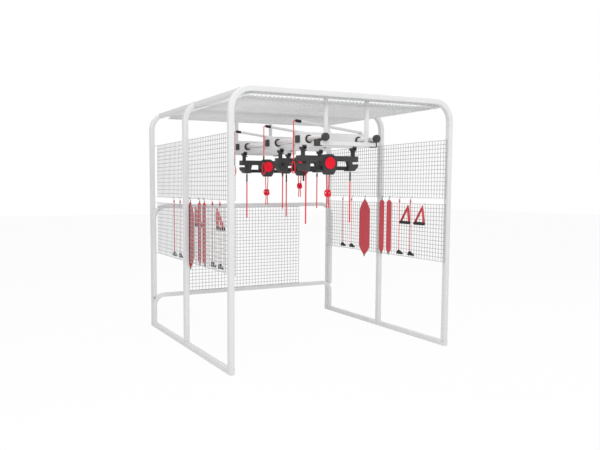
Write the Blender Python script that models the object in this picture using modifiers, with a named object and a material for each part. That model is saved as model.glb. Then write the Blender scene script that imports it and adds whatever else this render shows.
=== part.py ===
"""Suspension rehabilitation frame, in metres.

+Z is up, -Y is the open front, and the origin is on the floor in the middle of the frame.
"""
import math

import bmesh
import bpy
from mathutils import Matrix, Vector

# Touching pieces keep this much air between them
GAP = 0.0003

# How finely round shapes are drawn; a corner drawn as one chamfer takes off a share of its radius
CHORD_SHARE = 0.7
BEND_STEPS = 6
LOOP_STEPS = 14
ROUND_SIDES = 16
SMALL_SIDES = 12
DISC_SIDES = 32
KNOT_SIDES = (12, 8)
MERGE_DISTANCE = 0.00002

# Tube frame
FRAME_WIDTH = 2.370
FRAME_DEPTH = 2.160
FRAME_HEIGHT = 2.400
TUBE = 0.050
TUBE_CORNER = 0.009
TUBE_WALL = 0.002
HOOP_BEND = 0.185
TOP_RAIL_INSET = 0.105
TOP_RAIL_DROP = 0.020
DRAIN_RADIUS = 0.006

# Arches in front of the rear hoop
ARCH_FACE = 0.045
ARCH_DEPTH = 0.040
LOWER_ARCH_TOP = 0.3775
LOWER_ARCH_BEND = 0.1125
UPPER_ARCH_TOP = 1.375
UPPER_ARCH_BEND = 0.1425

# Grilles, as coarse nets of the same outer size
WIRE = 0.004
SIDE_GRILLE_OFFSET = 0.012
SIDE_GRILLE_FRONT = 0.013
SIDE_GRILLE_REAR = 0.103
SIDE_GRILLE_HEIGHT = 0.564
LOWER_GRILLE_Z = 0.833
UPPER_GRILLE_Z = 1.457
SIDE_CELLS = (9, 3)
TAB_WIDTH = 0.020
TAB_THICKNESS = 0.002
WELD_LAP = 0.001
REAR_GRILLE_WIDTH = 1.454
REAR_GRILLE_X = -0.021
REAR_CELLS = (7, 5)
CEILING_SIDE = 0.001
CEILING_FRONT = 0.020
CEILING_REAR = 0.136
CEILING_DROP = 0.038
CEILING_CELLS = (9, 9)

# Shafts that carry the beams, hung this far below the top of the frame
SHAFT_DROP = 0.394
SHAFT_RADIUS = 0.025
SHAFT_WALL = 0.004
LEFT_SHAFT_X = -0.245
RIGHT_SHAFT_X = 0.305
SHAFT_REAR = 0.100
KNOB_FRONT = 0.013
KNOB_RADIUS = 0.036
KNOB_DEPTH = 0.037
KNOB_EDGE = 0.005

# Hanger frames
HANGER_RADIUS = 0.020
HANGER_INSET = 0.054
FRONT_BAR_INSET = 0.115
REAR_BAR_INSET = 0.165
BAR_DEPTH = 0.080
BAR_HEIGHT = 0.036
BAR_CLEARANCE = 0.008
BAR_BLOCK_RADIUS = 0.037
BAR_BLOCK_OUT = 0.024
BAR_BLOCK_DROP = 0.006
BAR_BLOCK_RISE = 0.016
JOIST_WIDTH = 0.050
JOIST_HEIGHT = 0.030

# Cross beams
BEAM_LEFT = -0.385
BEAM_RIGHT = 0.367
BEAM_DEPTH = 0.050
BEAM_HEIGHT = 0.112
BEAM_BELOW_SHAFT = 0.051
BEAM_WALL = 0.003
TRACK_HEIGHT = 0.020
TRACK_INSET = 0.002
TRACK_CHANNEL = 0.040
TRACK_SLOT = 0.024
TRACK_LIP = 0.004
TRACK_WEB = 0.001
TRACK_STEP = 0.002
BUSH_RADIUS = 0.039
BUSH_FLANGE = 0.006
BUSH_WALL = 0.004
PLUG_THICKNESS = 0.004
PLUG_LAP = 0.001
STOP_OUT = 0.005
STOP_WIDTH = 0.027
STOP_DEPTH = 0.045
STOP_HEIGHT = 0.066
STOP_DROP = 0.012

# Release arms
ARM_RADIUS = 0.013
ARM_PIVOT_INSET = 0.015
ARM_PIVOT_RISE = 0.017
ARM_PIN_RADIUS = 0.005
ARM_PIN_HEAD = 0.002
ARM_PLAY = 0.001
ARM_BARREL_RADIUS = 0.012
ARM_TUBE_START = 0.0075
ARM_LENGTH = 0.7285
ARM_ANGLE = math.radians(6.7)
ARM_TIP_RADIUS = 0.014
ARM_TIP_LENGTH = 0.056
ELBOW_LAP = 0.010
ELBOW_START = 0.006
ELBOW_REACH = 0.019
ELBOW_BEND = 0.008
ELBOW_DROP = 0.020
ELBOW_SPACING = 0.004
EAR_THICKNESS = 0.005
EAR_HALF_WIDTH = 0.013

# Pull cords
PULL_RADIUS = 0.0045
PULL_PLAY = 0.0008
PULL_LENGTH = 0.274
PULL_SLEEVE_RADIUS = 0.0075
PULL_SLEEVE_LENGTH = 0.066
PULL_SLEEVE_LAP = 0.003
PULL_LOOP_HEIGHT = 0.115
PULL_LOOP_WIDTH = 0.0386
PULL_LOOP_TAPER = 0.4
PULL_LOOP_RADIUS = 0.0044

# Suspension units; the heights are measured down from the top of the bar
UNIT_DROP = 0.078
UNIT_DEPTH = 0.080
UNIT_HEIGHT = 0.139
UNIT_BLOCK = 0.107
UNIT_CHAMFER = 0.040
UNIT_SLOT_DEPTH = 0.067
UNIT_SLOT_SLANT = 0.005
UNIT_SLOT_TOP = 0.052
UNIT_SLOT_HEIGHT = 0.026
UNIT_JAW_RISE = 0.006
WINDOW_TOP = 0.048
WINDOW_HEIGHT = 0.050
WINDOW_SLANT = 0.0135
WINDOW_START = 0.085
WINDOW_LIP = 0.034
POCKET_REACH = 0.028
POCKET_MARGIN = 0.002
RAIL_RECESS = 0.015
RAIL_RISE = 0.0075
RAIL_START = 0.050
RAIL_MARGIN = 0.003
HOUSING_CENTRE = 0.067
# Half widths of the housing from its foot up, with their heights above the top of the bar
HOUSING_SHAPE = ((0.042, -0.175), (0.070, -0.136), (0.075, -0.100), (0.075, -0.040), (0.056, -0.003),
                 (0.049, 0.004), (0.032, 0.016))
HOUSING_FOOT = 0.175
HOUSING_FOOT_BACK = 0.008
HOUSING_PROUD = 0.005
DISC_RADIUS = 0.0565
DISC_PROUD = 0.003
CLAMP_LAP = 0.004
COLUMN_RADIUS = 0.020
COLUMN_HEIGHT = 0.035
CLAMP_KNOB_HEIGHT = 0.022
CLAMP_KNOB_LOW_RADIUS = 0.0205
CLAMP_KNOB_TOP_RADIUS = 0.030
LEVER_START = 0.015
LEVER_REACH = 0.043
LEVER_RISE = 0.010
LEVER_RADIUS = 0.006
LEVER_TAPER = 0.4
HEAD_HALF = 0.031
HEAD_HEIGHT = 0.036
TRACK_PLAY = 0.001
TRACK_SLOPE = 0.001
TROLLEY_HEIGHT = 0.010
SLEEVE_RADIUS = 0.008
SLEEVE_DROP = 0.011

# Ropes and centre cords
ROPE_SPACING = 0.045
CENTRE_RADIUS = 0.0045
CENTRE_SPREAD = 0.0155
CENTRE_BEND_DROP = 0.050
CENTRE_BEND_SPREAD = 0.0145
CENTRE_END_SPREAD = 0.0125
CENTRE_SPACING = 0.040
KNOT_TOP_SPREAD = 0.009
KNOT_LOW_SPREAD = 0.008
KNOT_SHAPE = (1.0, 0.85, 0.92, 1.0)

# The front beam's middle from the frame's front, the middle beam's y, the rear beam's from the back
FRONT_BEAM_INSET = 0.339
MIDDLE_BEAM_Y = -0.154
REAR_BEAM_INSET = 0.541

# Each carriage's unit: middle and half length; where its two clamps, sleeves and ropes and its centre
# cords are from left to right; how low sleeves, ropes, knot and cord ends reach; rope and knot radius
CARRIAGES = {
    "front": dict(x=-0.023, half=0.320, clamps=(-0.2905, 0.2615), sleeves=(-0.2825, 0.2323),
                  ropes=(-0.257, 0.2323), cords=-0.018, sleeve_low=1.622, rope_low=1.226, knot=1.507,
                  cord_low=1.370, rope_radius=0.0065, knot_radius=0.035),
    "middle": dict(x=0.030, half=0.275, clamps=(-0.202, 0.2597), sleeves=(-0.176, 0.2305),
                   ropes=(-0.176, 0.2305), cords=0.023, sleeve_low=1.671, rope_low=1.347, knot=1.578,
                   cord_low=1.466, rope_radius=0.0055, knot_radius=0.028),
    "rear": dict(x=0.003, half=0.318, clamps=(-0.2737, 0.2797), sleeves=(-0.2405, 0.2575),
                 ropes=(-0.2405, 0.2575), cords=0.005, sleeve_low=1.622, rope_low=1.226, knot=1.507,
                 cord_low=1.370, rope_radius=0.0065, knot_radius=0.036),
}

# Hooks over a grille's wire
HOOK_WIDTH = 0.008
HOOK_LEG = 0.008
HOOK_CROWN = 0.005
HOOK_TAIL = 0.004
HOOK_TAIL_LENGTH = 0.008
HOOK_LAP = 0.010

# Slings: width, height, upper taper and lower taper; the tops hang this far below the wire. Part
# of the way along each taper the sling is a share of its full width.
SLING_DROP = 0.030
SLING_THICKNESS = 0.006
SLING_TIP = 0.024
SLING_SHARE = 0.72
SLING_LOW_PLACE = 0.55
SLING_TOP_PLACE = 0.45
WIDE_SLING = (0.200, 0.642, 0.122, 0.122)
NARROW_SLING = (0.086, 0.580, 0.035, 0.055)

# Thin cords with a ferrule at the top and a moulded piece on the end
FERRULE_DROP = 0.021
FERRULE_RADIUS = 0.0075
FERRULE_LENGTH = 0.030
THIN_RADIUS = 0.003
THIN_LENGTH = 0.541
THIN_SPACING = 0.060
END_PIECE_LENGTH = 0.090
END_PIECE_BACK = 0.030
END_PIECE_HEIGHT = 0.042
END_PIECE_TOE = 0.0126
END_PIECE_HEEL = 0.0168
END_PIECE_DEPTH = 0.016
END_PIECE_NECK = 0.016

# Handles; the strap's top hangs this far below the wire's underside
HANDLE_DROP = 0.012
HANDLE_HEIGHT = 0.185
HANDLE_WIDTH = 0.162
HANDLE_TILT = math.radians(5.0)
HANDLE_OFFSET = 0.010
HANDLE_HOOK_LEG = 0.018
HANDLE_PEAK = 0.016
WEBBING_WIDTH = 0.034
WEBBING = 0.004
STRAP_CORNER = 0.0064
GRIP_RADIUS = 0.016
GRIP_LENGTH = 0.150

# What hangs where: names and distances from the front end of the side grille
WIDE_SLINGS = {"left_wide_sling": 1.052, "right_wide_sling": 1.291}
NARROW_SLINGS = {
    "left_narrow_sling_rear": 0.811,
    "left_narrow_sling_front": 0.690,
    "right_narrow_sling_rear": 0.977,
    "right_narrow_sling_front": 0.851,
}
THIN_CORDS = {
    "left_thin_cord_1": 1.533,
    "left_thin_cord_2": 1.351,
    "left_thin_cord_3": 0.509,
    "left_thin_cord_4": 0.340,
    "right_thin_cord_1": 1.731,
    "right_thin_cord_2": 1.547,
    "right_thin_cord_3": 0.674,
    "right_thin_cord_4": 0.497,
}
# Distance to the middle of the grip, and how far the hook is from it
HANDLES = {
    "left_handle_rear": (0.926, 0.045),
    "left_handle_front": (0.406, 0.045),
    "right_handle_rear": (0.540, -0.027),
    "right_handle_front": (0.320, -0.027),
}

# Worked out from the sizes above
POST_X = (FRAME_WIDTH - TUBE) / 2
POST_INNER = FRAME_WIDTH / 2 - TUBE
HOOP_Y = (FRAME_DEPTH - TUBE) / 2
HOOP_FOOT = TUBE + GAP
TOP_RAIL_X = FRAME_WIDTH / 2 - TOP_RAIL_INSET - TUBE / 2
TOP_RAIL_Z = FRAME_HEIGHT - TOP_RAIL_DROP - TUBE / 2
ARCH_Y = FRAME_DEPTH / 2 - TUBE - GAP - ARCH_DEPTH / 2
GRILLE_INNER = POST_INNER - SIDE_GRILLE_OFFSET
SIDE_GRILLE_Y = SIDE_GRILLE_FRONT - FRAME_DEPTH / 2
SIDE_GRILLE_LENGTH = FRAME_DEPTH - SIDE_GRILLE_FRONT - SIDE_GRILLE_REAR
LOWER_GRILLE_TOP = LOWER_GRILLE_Z + SIDE_GRILLE_HEIGHT
CEILING_WIDTH = 2 * (POST_X - HOOP_BEND - CEILING_SIDE)
CEILING_DEPTH = FRAME_DEPTH - CEILING_FRONT - CEILING_REAR
CEILING_TOP = FRAME_HEIGHT - TUBE - GAP
CEILING_LOW = FRAME_HEIGHT - TUBE - CEILING_DROP
SHAFT_Z = FRAME_HEIGHT - SHAFT_DROP
SHAFT_FRONT = KNOB_FRONT + KNOB_DEPTH - FRAME_DEPTH / 2
SHAFT_END = FRAME_DEPTH / 2 - SHAFT_REAR
FRONT_BAR_Y = FRONT_BAR_INSET - FRAME_DEPTH / 2
REAR_BAR_Y = FRAME_DEPTH / 2 - REAR_BAR_INSET
BAR_TOP = SHAFT_Z - SHAFT_RADIUS - BAR_CLEARANCE
JOIST_LOW = FRAME_HEIGHT - TUBE
BEAM_LOW = SHAFT_Z - BEAM_BELOW_SHAFT
BEAM_TOP = BEAM_LOW + BEAM_HEIGHT
TRACK_LOW = BEAM_LOW - TRACK_HEIGHT
BEAM_Y = {
    "front": FRONT_BEAM_INSET - FRAME_DEPTH / 2,
    "middle": MIDDLE_BEAM_Y,
    "rear": FRAME_DEPTH / 2 - REAR_BEAM_INSET,
}
TROLLEY_LOW = TRACK_LOW + TRACK_LIP + GAP
UNIT_TOP = TRACK_LOW - UNIT_DROP
UNIT_LOW = UNIT_TOP - UNIT_HEIGHT
COLUMN_TOP = UNIT_TOP + COLUMN_HEIGHT
HEAD_LOW = COLUMN_TOP + CLAMP_KNOB_HEIGHT
HOUSING_Z = UNIT_TOP - HOUSING_CENTRE
HOUSING_LOW = UNIT_TOP - HOUSING_FOOT
ARM_PIVOT = (BEAM_RIGHT - ARM_PIVOT_INSET, BEAM_TOP + ARM_PIVOT_RISE)
ARM_END_X = ARM_PIVOT[0] - ARM_LENGTH * math.cos(ARM_ANGLE)
ARM_END_Z = ARM_PIVOT[1] + ARM_LENGTH * math.sin(ARM_ANGLE)
PULL_X = ARM_END_X - ELBOW_REACH
PULL_TOP = ARM_END_Z - ELBOW_DROP - PULL_PLAY
SLING_TOP = UPPER_GRILLE_Z - SLING_DROP
FERRULE_TOP = UPPER_GRILLE_Z - FERRULE_DROP
THIN_LOW = FERRULE_TOP - THIN_LENGTH
HANDLE_TOP = LOWER_GRILLE_TOP - WIRE - HANDLE_DROP

for old in list(bpy.data.objects):
    bpy.data.objects.remove(old)

PARTS = bpy.data.collections.new("suspension_rehabilitation_frame")
CUTTERS = bpy.data.collections.new("cutters")
bpy.context.scene.collection.children.link(PARTS)
bpy.context.scene.collection.children.link(CUTTERS)

XZ_PLANE = (math.pi / 2, 0, 0)
YZ_PLANE = (math.pi / 2, 0, math.pi / 2)
FLAT = (0, 0, 0)


def finish(name, colour, roughness, metallic):
    """A Principled material with one colour, roughness and metallic value."""
    made = bpy.data.materials.new(name)
    made.use_nodes = True
    shader = made.node_tree.nodes["Principled BSDF"]
    shader.inputs["Base Color"].default_value = (*colour, 1.0)
    shader.inputs["Roughness"].default_value = roughness
    shader.inputs["Metallic"].default_value = metallic
    return made


WHITE_PAINT = finish("white_paint", (0.80, 0.81, 0.82), 0.4, 0.0)
WIRE_PAINT = finish("wire_paint", (0.70, 0.71, 0.72), 0.45, 0.0)
BEAM_PAINT = finish("beam_paint", (0.68, 0.69, 0.71), 0.4, 0.0)
STEEL = finish("steel", (0.62, 0.63, 0.65), 0.25, 1.0)
CHARCOAL = finish("charcoal_plastic", (0.045, 0.046, 0.05), 0.5, 0.0)
RED_ROPE = finish("red_rope", (0.62, 0.05, 0.08), 0.8, 0.0)
RED_FABRIC = finish("red_fabric", (0.50, 0.06, 0.08), 0.85, 0.0)


def place(name, data, paint=None, rotation=FLAT, location=(0, 0, 0)):
    """An object in the parts collection, or a hidden guide where it has no paint."""
    obj = bpy.data.objects.new(name, data)
    obj.rotation_euler = rotation
    obj.location = location
    if paint is None:
        CUTTERS.objects.link(obj)
        obj.hide_render = True
        obj.display_type = "WIRE"
        return obj
    PARTS.objects.link(obj)
    data.materials.append(paint)
    return obj


def boxes(name, corners, paint=None):
    """One mesh of cubes, each between its lowest and highest corner."""
    shape = bmesh.new()
    for low, high in corners:
        low = Vector(low)
        high = Vector(high)
        size = Matrix.Diagonal((*(high - low), 1.0))
        bmesh.ops.create_cube(shape, size=1.0, matrix=Matrix.Translation((low + high) / 2) @ size)
    mesh = bpy.data.meshes.new(name)
    shape.to_mesh(mesh)
    shape.free()
    return place(name, mesh, paint)


def cylinders(name, rods, paint=None, sides=ROUND_SIDES, widening=1.0):
    """One mesh of capped cylinders, each given as start, end and the radius at its start."""
    shape = bmesh.new()
    for start, end, radius in rods:
        start = Vector(start)
        axis = Vector(end) - start
        turn = axis.to_track_quat("Z", "Y").to_matrix().to_4x4()
        where = Matrix.Translation(start + axis / 2) @ turn
        bmesh.ops.create_cone(shape, cap_ends=True, segments=sides, radius1=radius,
                              radius2=radius * widening, depth=axis.length, matrix=where)
    mesh = bpy.data.meshes.new(name)
    shape.to_mesh(mesh)
    shape.free()
    return place(name, mesh, paint)


def outline(name, rings, half_thickness, rotation, location=(0, 0, 0), paint=None):
    """A flat filled curve made thick; rings after the first are holes."""
    curve = bpy.data.curves.new(name, "CURVE")
    curve.dimensions = "2D"
    curve.fill_mode = "BOTH"
    curve.extrude = half_thickness
    for ring in rings:
        add_spline(curve, ring, closed=True)
    return place(name, curve, paint, rotation, location)


def add_spline(curve, points, closed=False):
    """A polyline through two- or three-dimensional points."""
    spline = curve.splines.new("POLY")
    spline.points.add(len(points) - 1)
    for knot, point in zip(spline.points, points):
        knot.co = (*point, *([0.0] * (3 - len(point))), 1.0)
    spline.use_cyclic_u = closed


def as_mesh(source, paint=None):
    """The same shape as one closed mesh, which a Boolean can use."""
    bpy.context.view_layer.update()
    evaluated = source.evaluated_get(bpy.context.evaluated_depsgraph_get())
    mesh = bpy.data.meshes.new_from_object(evaluated)
    shape = bmesh.new()
    shape.from_mesh(mesh)
    bmesh.ops.remove_doubles(shape, verts=shape.verts, dist=MERGE_DISTANCE)
    bmesh.ops.recalc_face_normals(shape, faces=shape.faces)
    shape.to_mesh(mesh)
    shape.free()
    mesh.materials.clear()
    name = source.name
    matrix = source.matrix_world.copy()
    bpy.data.objects.remove(source)
    made = place(name, mesh, paint)
    made.matrix_world = matrix
    return made


def combine(target, tool, operation):
    """A live exact Boolean of one object with another."""
    step = target.modifiers.new(tool.name, "BOOLEAN")
    step.operation = operation
    step.solver = "EXACT"
    step.object = tool
    return target


def join(target, *tools):
    for tool in tools:
        combine(target, tool, "UNION")
    return target


def cut(target, *tools):
    for tool in tools:
        combine(target, tool, "DIFFERENCE")
    return target


def rounded_rectangle(width, height, corner):
    """Eight points: a rectangle with its corners taken off at the chord of their arcs."""
    w = width / 2
    h = height / 2
    c = corner * CHORD_SHARE
    right = [(w - c, -h), (w, c - h), (w, h - c), (w - c, h)]
    return right + [(-x, y) for x, y in reversed(right)]


def section(name, width, height):
    """The guide curve of a tube's section."""
    curve = bpy.data.curves.new(name, "CURVE")
    curve.dimensions = "2D"
    add_spline(curve, rounded_rectangle(width, height, TUBE_CORNER), closed=True)
    return place(name, curve)


SQUARE_SECTION = section("square_section", TUBE, TUBE)
ARCH_SECTION = section("arch_section", ARCH_FACE, ARCH_DEPTH)


def bent_tube(name, path, guide, rotation, location=(0, 0, 0), paint=WHITE_PAINT):
    """A hollow tube with open ends, its section carried along a flat path."""
    curve = bpy.data.curves.new(name, "CURVE")
    curve.dimensions = "2D"
    curve.bevel_mode = "OBJECT"
    curve.bevel_object = guide
    add_spline(curve, path)
    tube = place(name, curve, paint, rotation, location)
    wall = tube.modifiers.new("wall", "SOLIDIFY")
    wall.thickness = TUBE_WALL
    wall.offset = 1
    wall.use_even_offset = True
    return tube


def arch_path(half_width, foot, crown, bend):
    """Up one leg, round a quarter circle, across and down the other leg."""
    right = [(half_width, foot)]
    for step in range(BEND_STEPS + 1):
        angle = step * math.pi / 2 / BEND_STEPS
        right.append((half_width - bend * (1 - math.cos(angle)), crown - bend * (1 - math.sin(angle))))
    left = [(-x, z) for x, z in reversed(right)]
    return right + left


def make_hoops():
    path = arch_path(POST_X, HOOP_FOOT, FRAME_HEIGHT - TUBE / 2, HOOP_BEND)
    for name, y in (("front_hoop", -HOOP_Y), ("middle_hoop", 0.0), ("rear_hoop", HOOP_Y)):
        bent_tube(name, path, SQUARE_SECTION, XZ_PLANE, (0, y, 0))


def make_floor_rails():
    """Closed rails along the floor, each with a drain hole underneath."""
    half = FRAME_DEPTH / 2
    inner = TUBE / 2 - TUBE_WALL
    for name, x in (("left_floor_rail", -POST_X), ("right_floor_rail", POST_X)):
        ring = rounded_rectangle(TUBE, TUBE, TUBE_CORNER)
        rail = as_mesh(outline(name, [ring], half, XZ_PLANE, (x, 0, TUBE / 2)), WHITE_PAINT)
        hollow = boxes(name + "_hollow", [((x - inner, TUBE_WALL - half, TUBE_WALL),
                                           (x + inner, half - TUBE_WALL, TUBE - TUBE_WALL))])
        bevel = hollow.modifiers.new("corner", "BEVEL")
        bevel.width = TUBE_CORNER * CHORD_SHARE
        bevel.segments = 1
        drain = ((x, half / 2, -TUBE_WALL), (x, half / 2, TUBE / 2), DRAIN_RADIUS)
        cut(rail, hollow, cylinders(name + "_drain", [drain], sides=SMALL_SIDES))


def make_top_rails():
    """Rails between the hoops, on both sides."""
    length = (HOOP_Y - TUBE) / 2 - GAP
    for side, x in (("left", -TOP_RAIL_X), ("right", TOP_RAIL_X)):
        for end, y in (("front", -HOOP_Y / 2), ("rear", HOOP_Y / 2)):
            bent_tube(f"{side}_{end}_top_rail", [(-length, 0), (length, 0)], SQUARE_SECTION,
                      (0, 0, math.pi / 2), (x, y, TOP_RAIL_Z))


def make_arches():
    half_width = FRAME_WIDTH / 2 - ARCH_FACE / 2
    lower = arch_path(half_width, HOOP_FOOT, LOWER_ARCH_TOP - ARCH_FACE / 2, LOWER_ARCH_BEND)
    upper = arch_path(half_width, upper_arch_foot(), UPPER_ARCH_TOP - ARCH_FACE / 2, UPPER_ARCH_BEND)
    bent_tube("lower_rear_arch", lower, ARCH_SECTION, XZ_PLANE, (0, ARCH_Y, 0))
    bent_tube("upper_rear_arch", upper, ARCH_SECTION, XZ_PLANE, (0, ARCH_Y, 0))


def upper_arch_foot():
    """The height of the lower bend's crown at the inner face of the upper arch's leg."""
    outer = LOWER_ARCH_BEND + ARCH_FACE / 2
    run = outer - ARCH_FACE
    return LOWER_ARCH_TOP - outer + math.sqrt(outer ** 2 - run ** 2) + GAP


def net(name, size, cells, paint=None):
    """A flat net of square wire, with its low corner at the origin of its own plane."""
    across = wire_lines(size[0], cells[0])
    up = wire_lines(size[1], cells[1])
    shape = bmesh.new()
    grid = [[shape.verts.new((x, y, 0)) for y in up] for x in across]
    for i in range(len(across) - 1):
        for j in range(len(up) - 1):
            if i % 2 == 0 or j % 2 == 0:
                shape.faces.new((grid[i][j], grid[i + 1][j], grid[i + 1][j + 1], grid[i][j + 1]))
    mesh = bpy.data.meshes.new(name)
    shape.to_mesh(mesh)
    shape.free()
    made = place(name, mesh, paint)
    thick = made.modifiers.new("wire", "SOLIDIFY")
    thick.thickness = WIRE
    thick.offset = 0
    return made


def wire_lines(length, cells):
    """Both edges of every wire along one side of a net."""
    pitch = (length - WIRE) / cells
    return [k * pitch + edge for k in range(cells + 1) for edge in (0.0, WIRE)]


def make_side_grilles():
    """Upper and lower grilles, held by tabs that reach to the three posts."""
    for side, sign in (("left", -1), ("right", 1)):
        for level, z in (("lower", LOWER_GRILLE_Z), ("upper", UPPER_GRILLE_Z)):
            size = (SIDE_GRILLE_LENGTH, SIDE_GRILLE_HEIGHT)
            grille = net(f"{side}_{level}_grille", size, SIDE_CELLS, WIRE_PAINT)
            grille.rotation_euler = YZ_PLANE
            grille.location = (sign * (GRILLE_INNER + WIRE / 2), SIDE_GRILLE_Y, z)
            join(grille, boxes(grille.name + "_tabs", side_tabs(sign, z)))


def side_tabs(sign, low):
    """Flat tabs on the top and bottom wires, out to each post; the rear ones also reach back to theirs."""
    across = sorted((sign * (GRILLE_INNER + WELD_LAP), sign * (POST_INNER - GAP)))
    half = TAB_WIDTH / 2
    thin = TAB_THICKNESS / 2
    rear_wire = SIDE_GRILLE_Y + SIDE_GRILLE_LENGTH - WIRE + WELD_LAP
    tabs = []
    for start, end in ((-HOOP_Y - half, half - HOOP_Y), (-half, half), (rear_wire, HOOP_Y)):
        for wire in (low + WIRE / 2, low + SIDE_GRILLE_HEIGHT - WIRE / 2):
            tabs.append(((across[0], start, wire - thin), (across[1], end, wire + thin)))
    return tabs


def make_rear_grille():
    """A grille between the crossbars of the two arches."""
    low = LOWER_ARCH_TOP + GAP
    height = UPPER_ARCH_TOP - ARCH_FACE - GAP - low
    grille = net("rear_grille", (REAR_GRILLE_WIDTH, height), REAR_CELLS, WIRE_PAINT)
    grille.rotation_euler = XZ_PLANE
    grille.location = (REAR_GRILLE_X - REAR_GRILLE_WIDTH / 2, ARCH_Y, low)


def make_ceiling_grille():
    """A net with an upturned edge that reaches up to the hoops."""
    low_x = -CEILING_WIDTH / 2
    low_y = CEILING_FRONT - FRAME_DEPTH / 2
    grille = net("ceiling_grille", (CEILING_WIDTH, CEILING_DEPTH), CEILING_CELLS, WIRE_PAINT)
    grille.location = (low_x, low_y, CEILING_LOW + WIRE / 2)
    rim = boxes("ceiling_rim", [((low_x, low_y, CEILING_LOW + WELD_LAP),
                                 (low_x + CEILING_WIDTH, low_y + CEILING_DEPTH, CEILING_TOP))])
    well = boxes("ceiling_well", [((low_x + WIRE, low_y + WIRE, CEILING_LOW - WIRE),
                                   (low_x + CEILING_WIDTH - WIRE, low_y + CEILING_DEPTH - WIRE,
                                    CEILING_TOP + WIRE))])
    join(grille, cut(rim, well))


def make_shafts():
    """Hollow shafts with a knob on the front end, open at the rear."""
    for name, x in (("left_shaft", LEFT_SHAFT_X), ("right_shaft", RIGHT_SHAFT_X)):
        front = Vector((x, SHAFT_FRONT, SHAFT_Z))
        along = Vector((0, 1, 0))
        knob_front = front - along * KNOB_DEPTH
        shaft = cylinders(name, [(knob_front, front, KNOB_RADIUS)], STEEL)
        bevel = shaft.modifiers.new("edge", "BEVEL")
        bevel.width = KNOB_EDGE
        bevel.segments = 2
        end = Vector((x, SHAFT_END, SHAFT_Z))
        tube = cylinders(name + "_tube", [(front - along * KNOB_EDGE, end, SHAFT_RADIUS)])
        bore = cylinders(name + "_bore", [(front, end + along * SHAFT_WALL, SHAFT_RADIUS - SHAFT_WALL)])
        cut(join(shaft, tube), bore)


def make_hanger_frames():
    """A joist over the ceiling grille, two hangers, and the bar that the shafts lie on."""
    reach = TOP_RAIL_X - TUBE / 2 - GAP
    left = LEFT_SHAFT_X - BAR_BLOCK_OUT
    right = RIGHT_SHAFT_X + BAR_BLOCK_OUT
    low = BAR_TOP - BAR_HEIGHT
    joist_top = JOIST_LOW + JOIST_HEIGHT
    inner = JOIST_WIDTH / 2 - TUBE_WALL
    for name, y in (("front_hanger_frame", FRONT_BAR_Y), ("rear_hanger_frame", REAR_BAR_Y)):
        joist = boxes(name, [((-reach, y - JOIST_WIDTH / 2, JOIST_LOW),
                              (reach, y + JOIST_WIDTH / 2, joist_top))], WHITE_PAINT)
        hollow = boxes(name + "_hollow", [((-reach - TUBE_WALL, y - inner, JOIST_LOW + TUBE_WALL),
                                           (reach + TUBE_WALL, y + inner, joist_top - TUBE_WALL))])
        hangers = cylinders(name + "_hangers", [
            ((x, y, BAR_TOP - TUBE_WALL), (x, y, JOIST_LOW + TUBE_WALL / 2), HANGER_RADIUS)
            for x in (LEFT_SHAFT_X + HANGER_INSET, RIGHT_SHAFT_X - HANGER_INSET)])
        bar = boxes(name + "_bar", [((left, y - BAR_DEPTH / 2, low), (right, y + BAR_DEPTH / 2, BAR_TOP))])
        blocks = cylinders(name + "_blocks", [
            ((x, y, low - BAR_BLOCK_DROP), (x, y, BAR_TOP + BAR_BLOCK_RISE), BAR_BLOCK_RADIUS)
            for x in (left, right)])
        seats = cylinders(name + "_seats", [
            ((x, y - BAR_DEPTH, SHAFT_Z), (x, y + BAR_DEPTH, SHAFT_Z), SHAFT_RADIUS + GAP)
            for x in (LEFT_SHAFT_X, RIGHT_SHAFT_X)])
        join(cut(joist, hollow), hangers, bar, cut(blocks, seats))


def beam_rings():
    """The beam's section: a box with a cavity, and below it a C track that is open downwards."""
    half = BEAM_DEPTH / 2
    track = half - TRACK_INSET
    channel = TRACK_CHANNEL / 2
    slot = TRACK_SLOT / 2
    lip = TRACK_LOW + TRACK_LIP
    ceiling = BEAM_LOW - TRACK_WEB
    right = [(slot, lip), (slot, TRACK_LOW), (track, TRACK_LOW), (track, BEAM_LOW - TRACK_STEP),
             (half, BEAM_LOW), (half, BEAM_TOP)]
    left = [(-y, z) for y, z in reversed(right)]
    outer = right + left + [(-channel, lip), (-channel, ceiling), (channel, ceiling), (channel, lip)]
    wall = half - BEAM_WALL
    cavity = [(wall, BEAM_LOW + BEAM_WALL), (wall, BEAM_TOP - BEAM_WALL), (-wall, BEAM_TOP - BEAM_WALL),
              (-wall, BEAM_LOW + BEAM_WALL)]
    return [outer, cavity]


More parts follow.
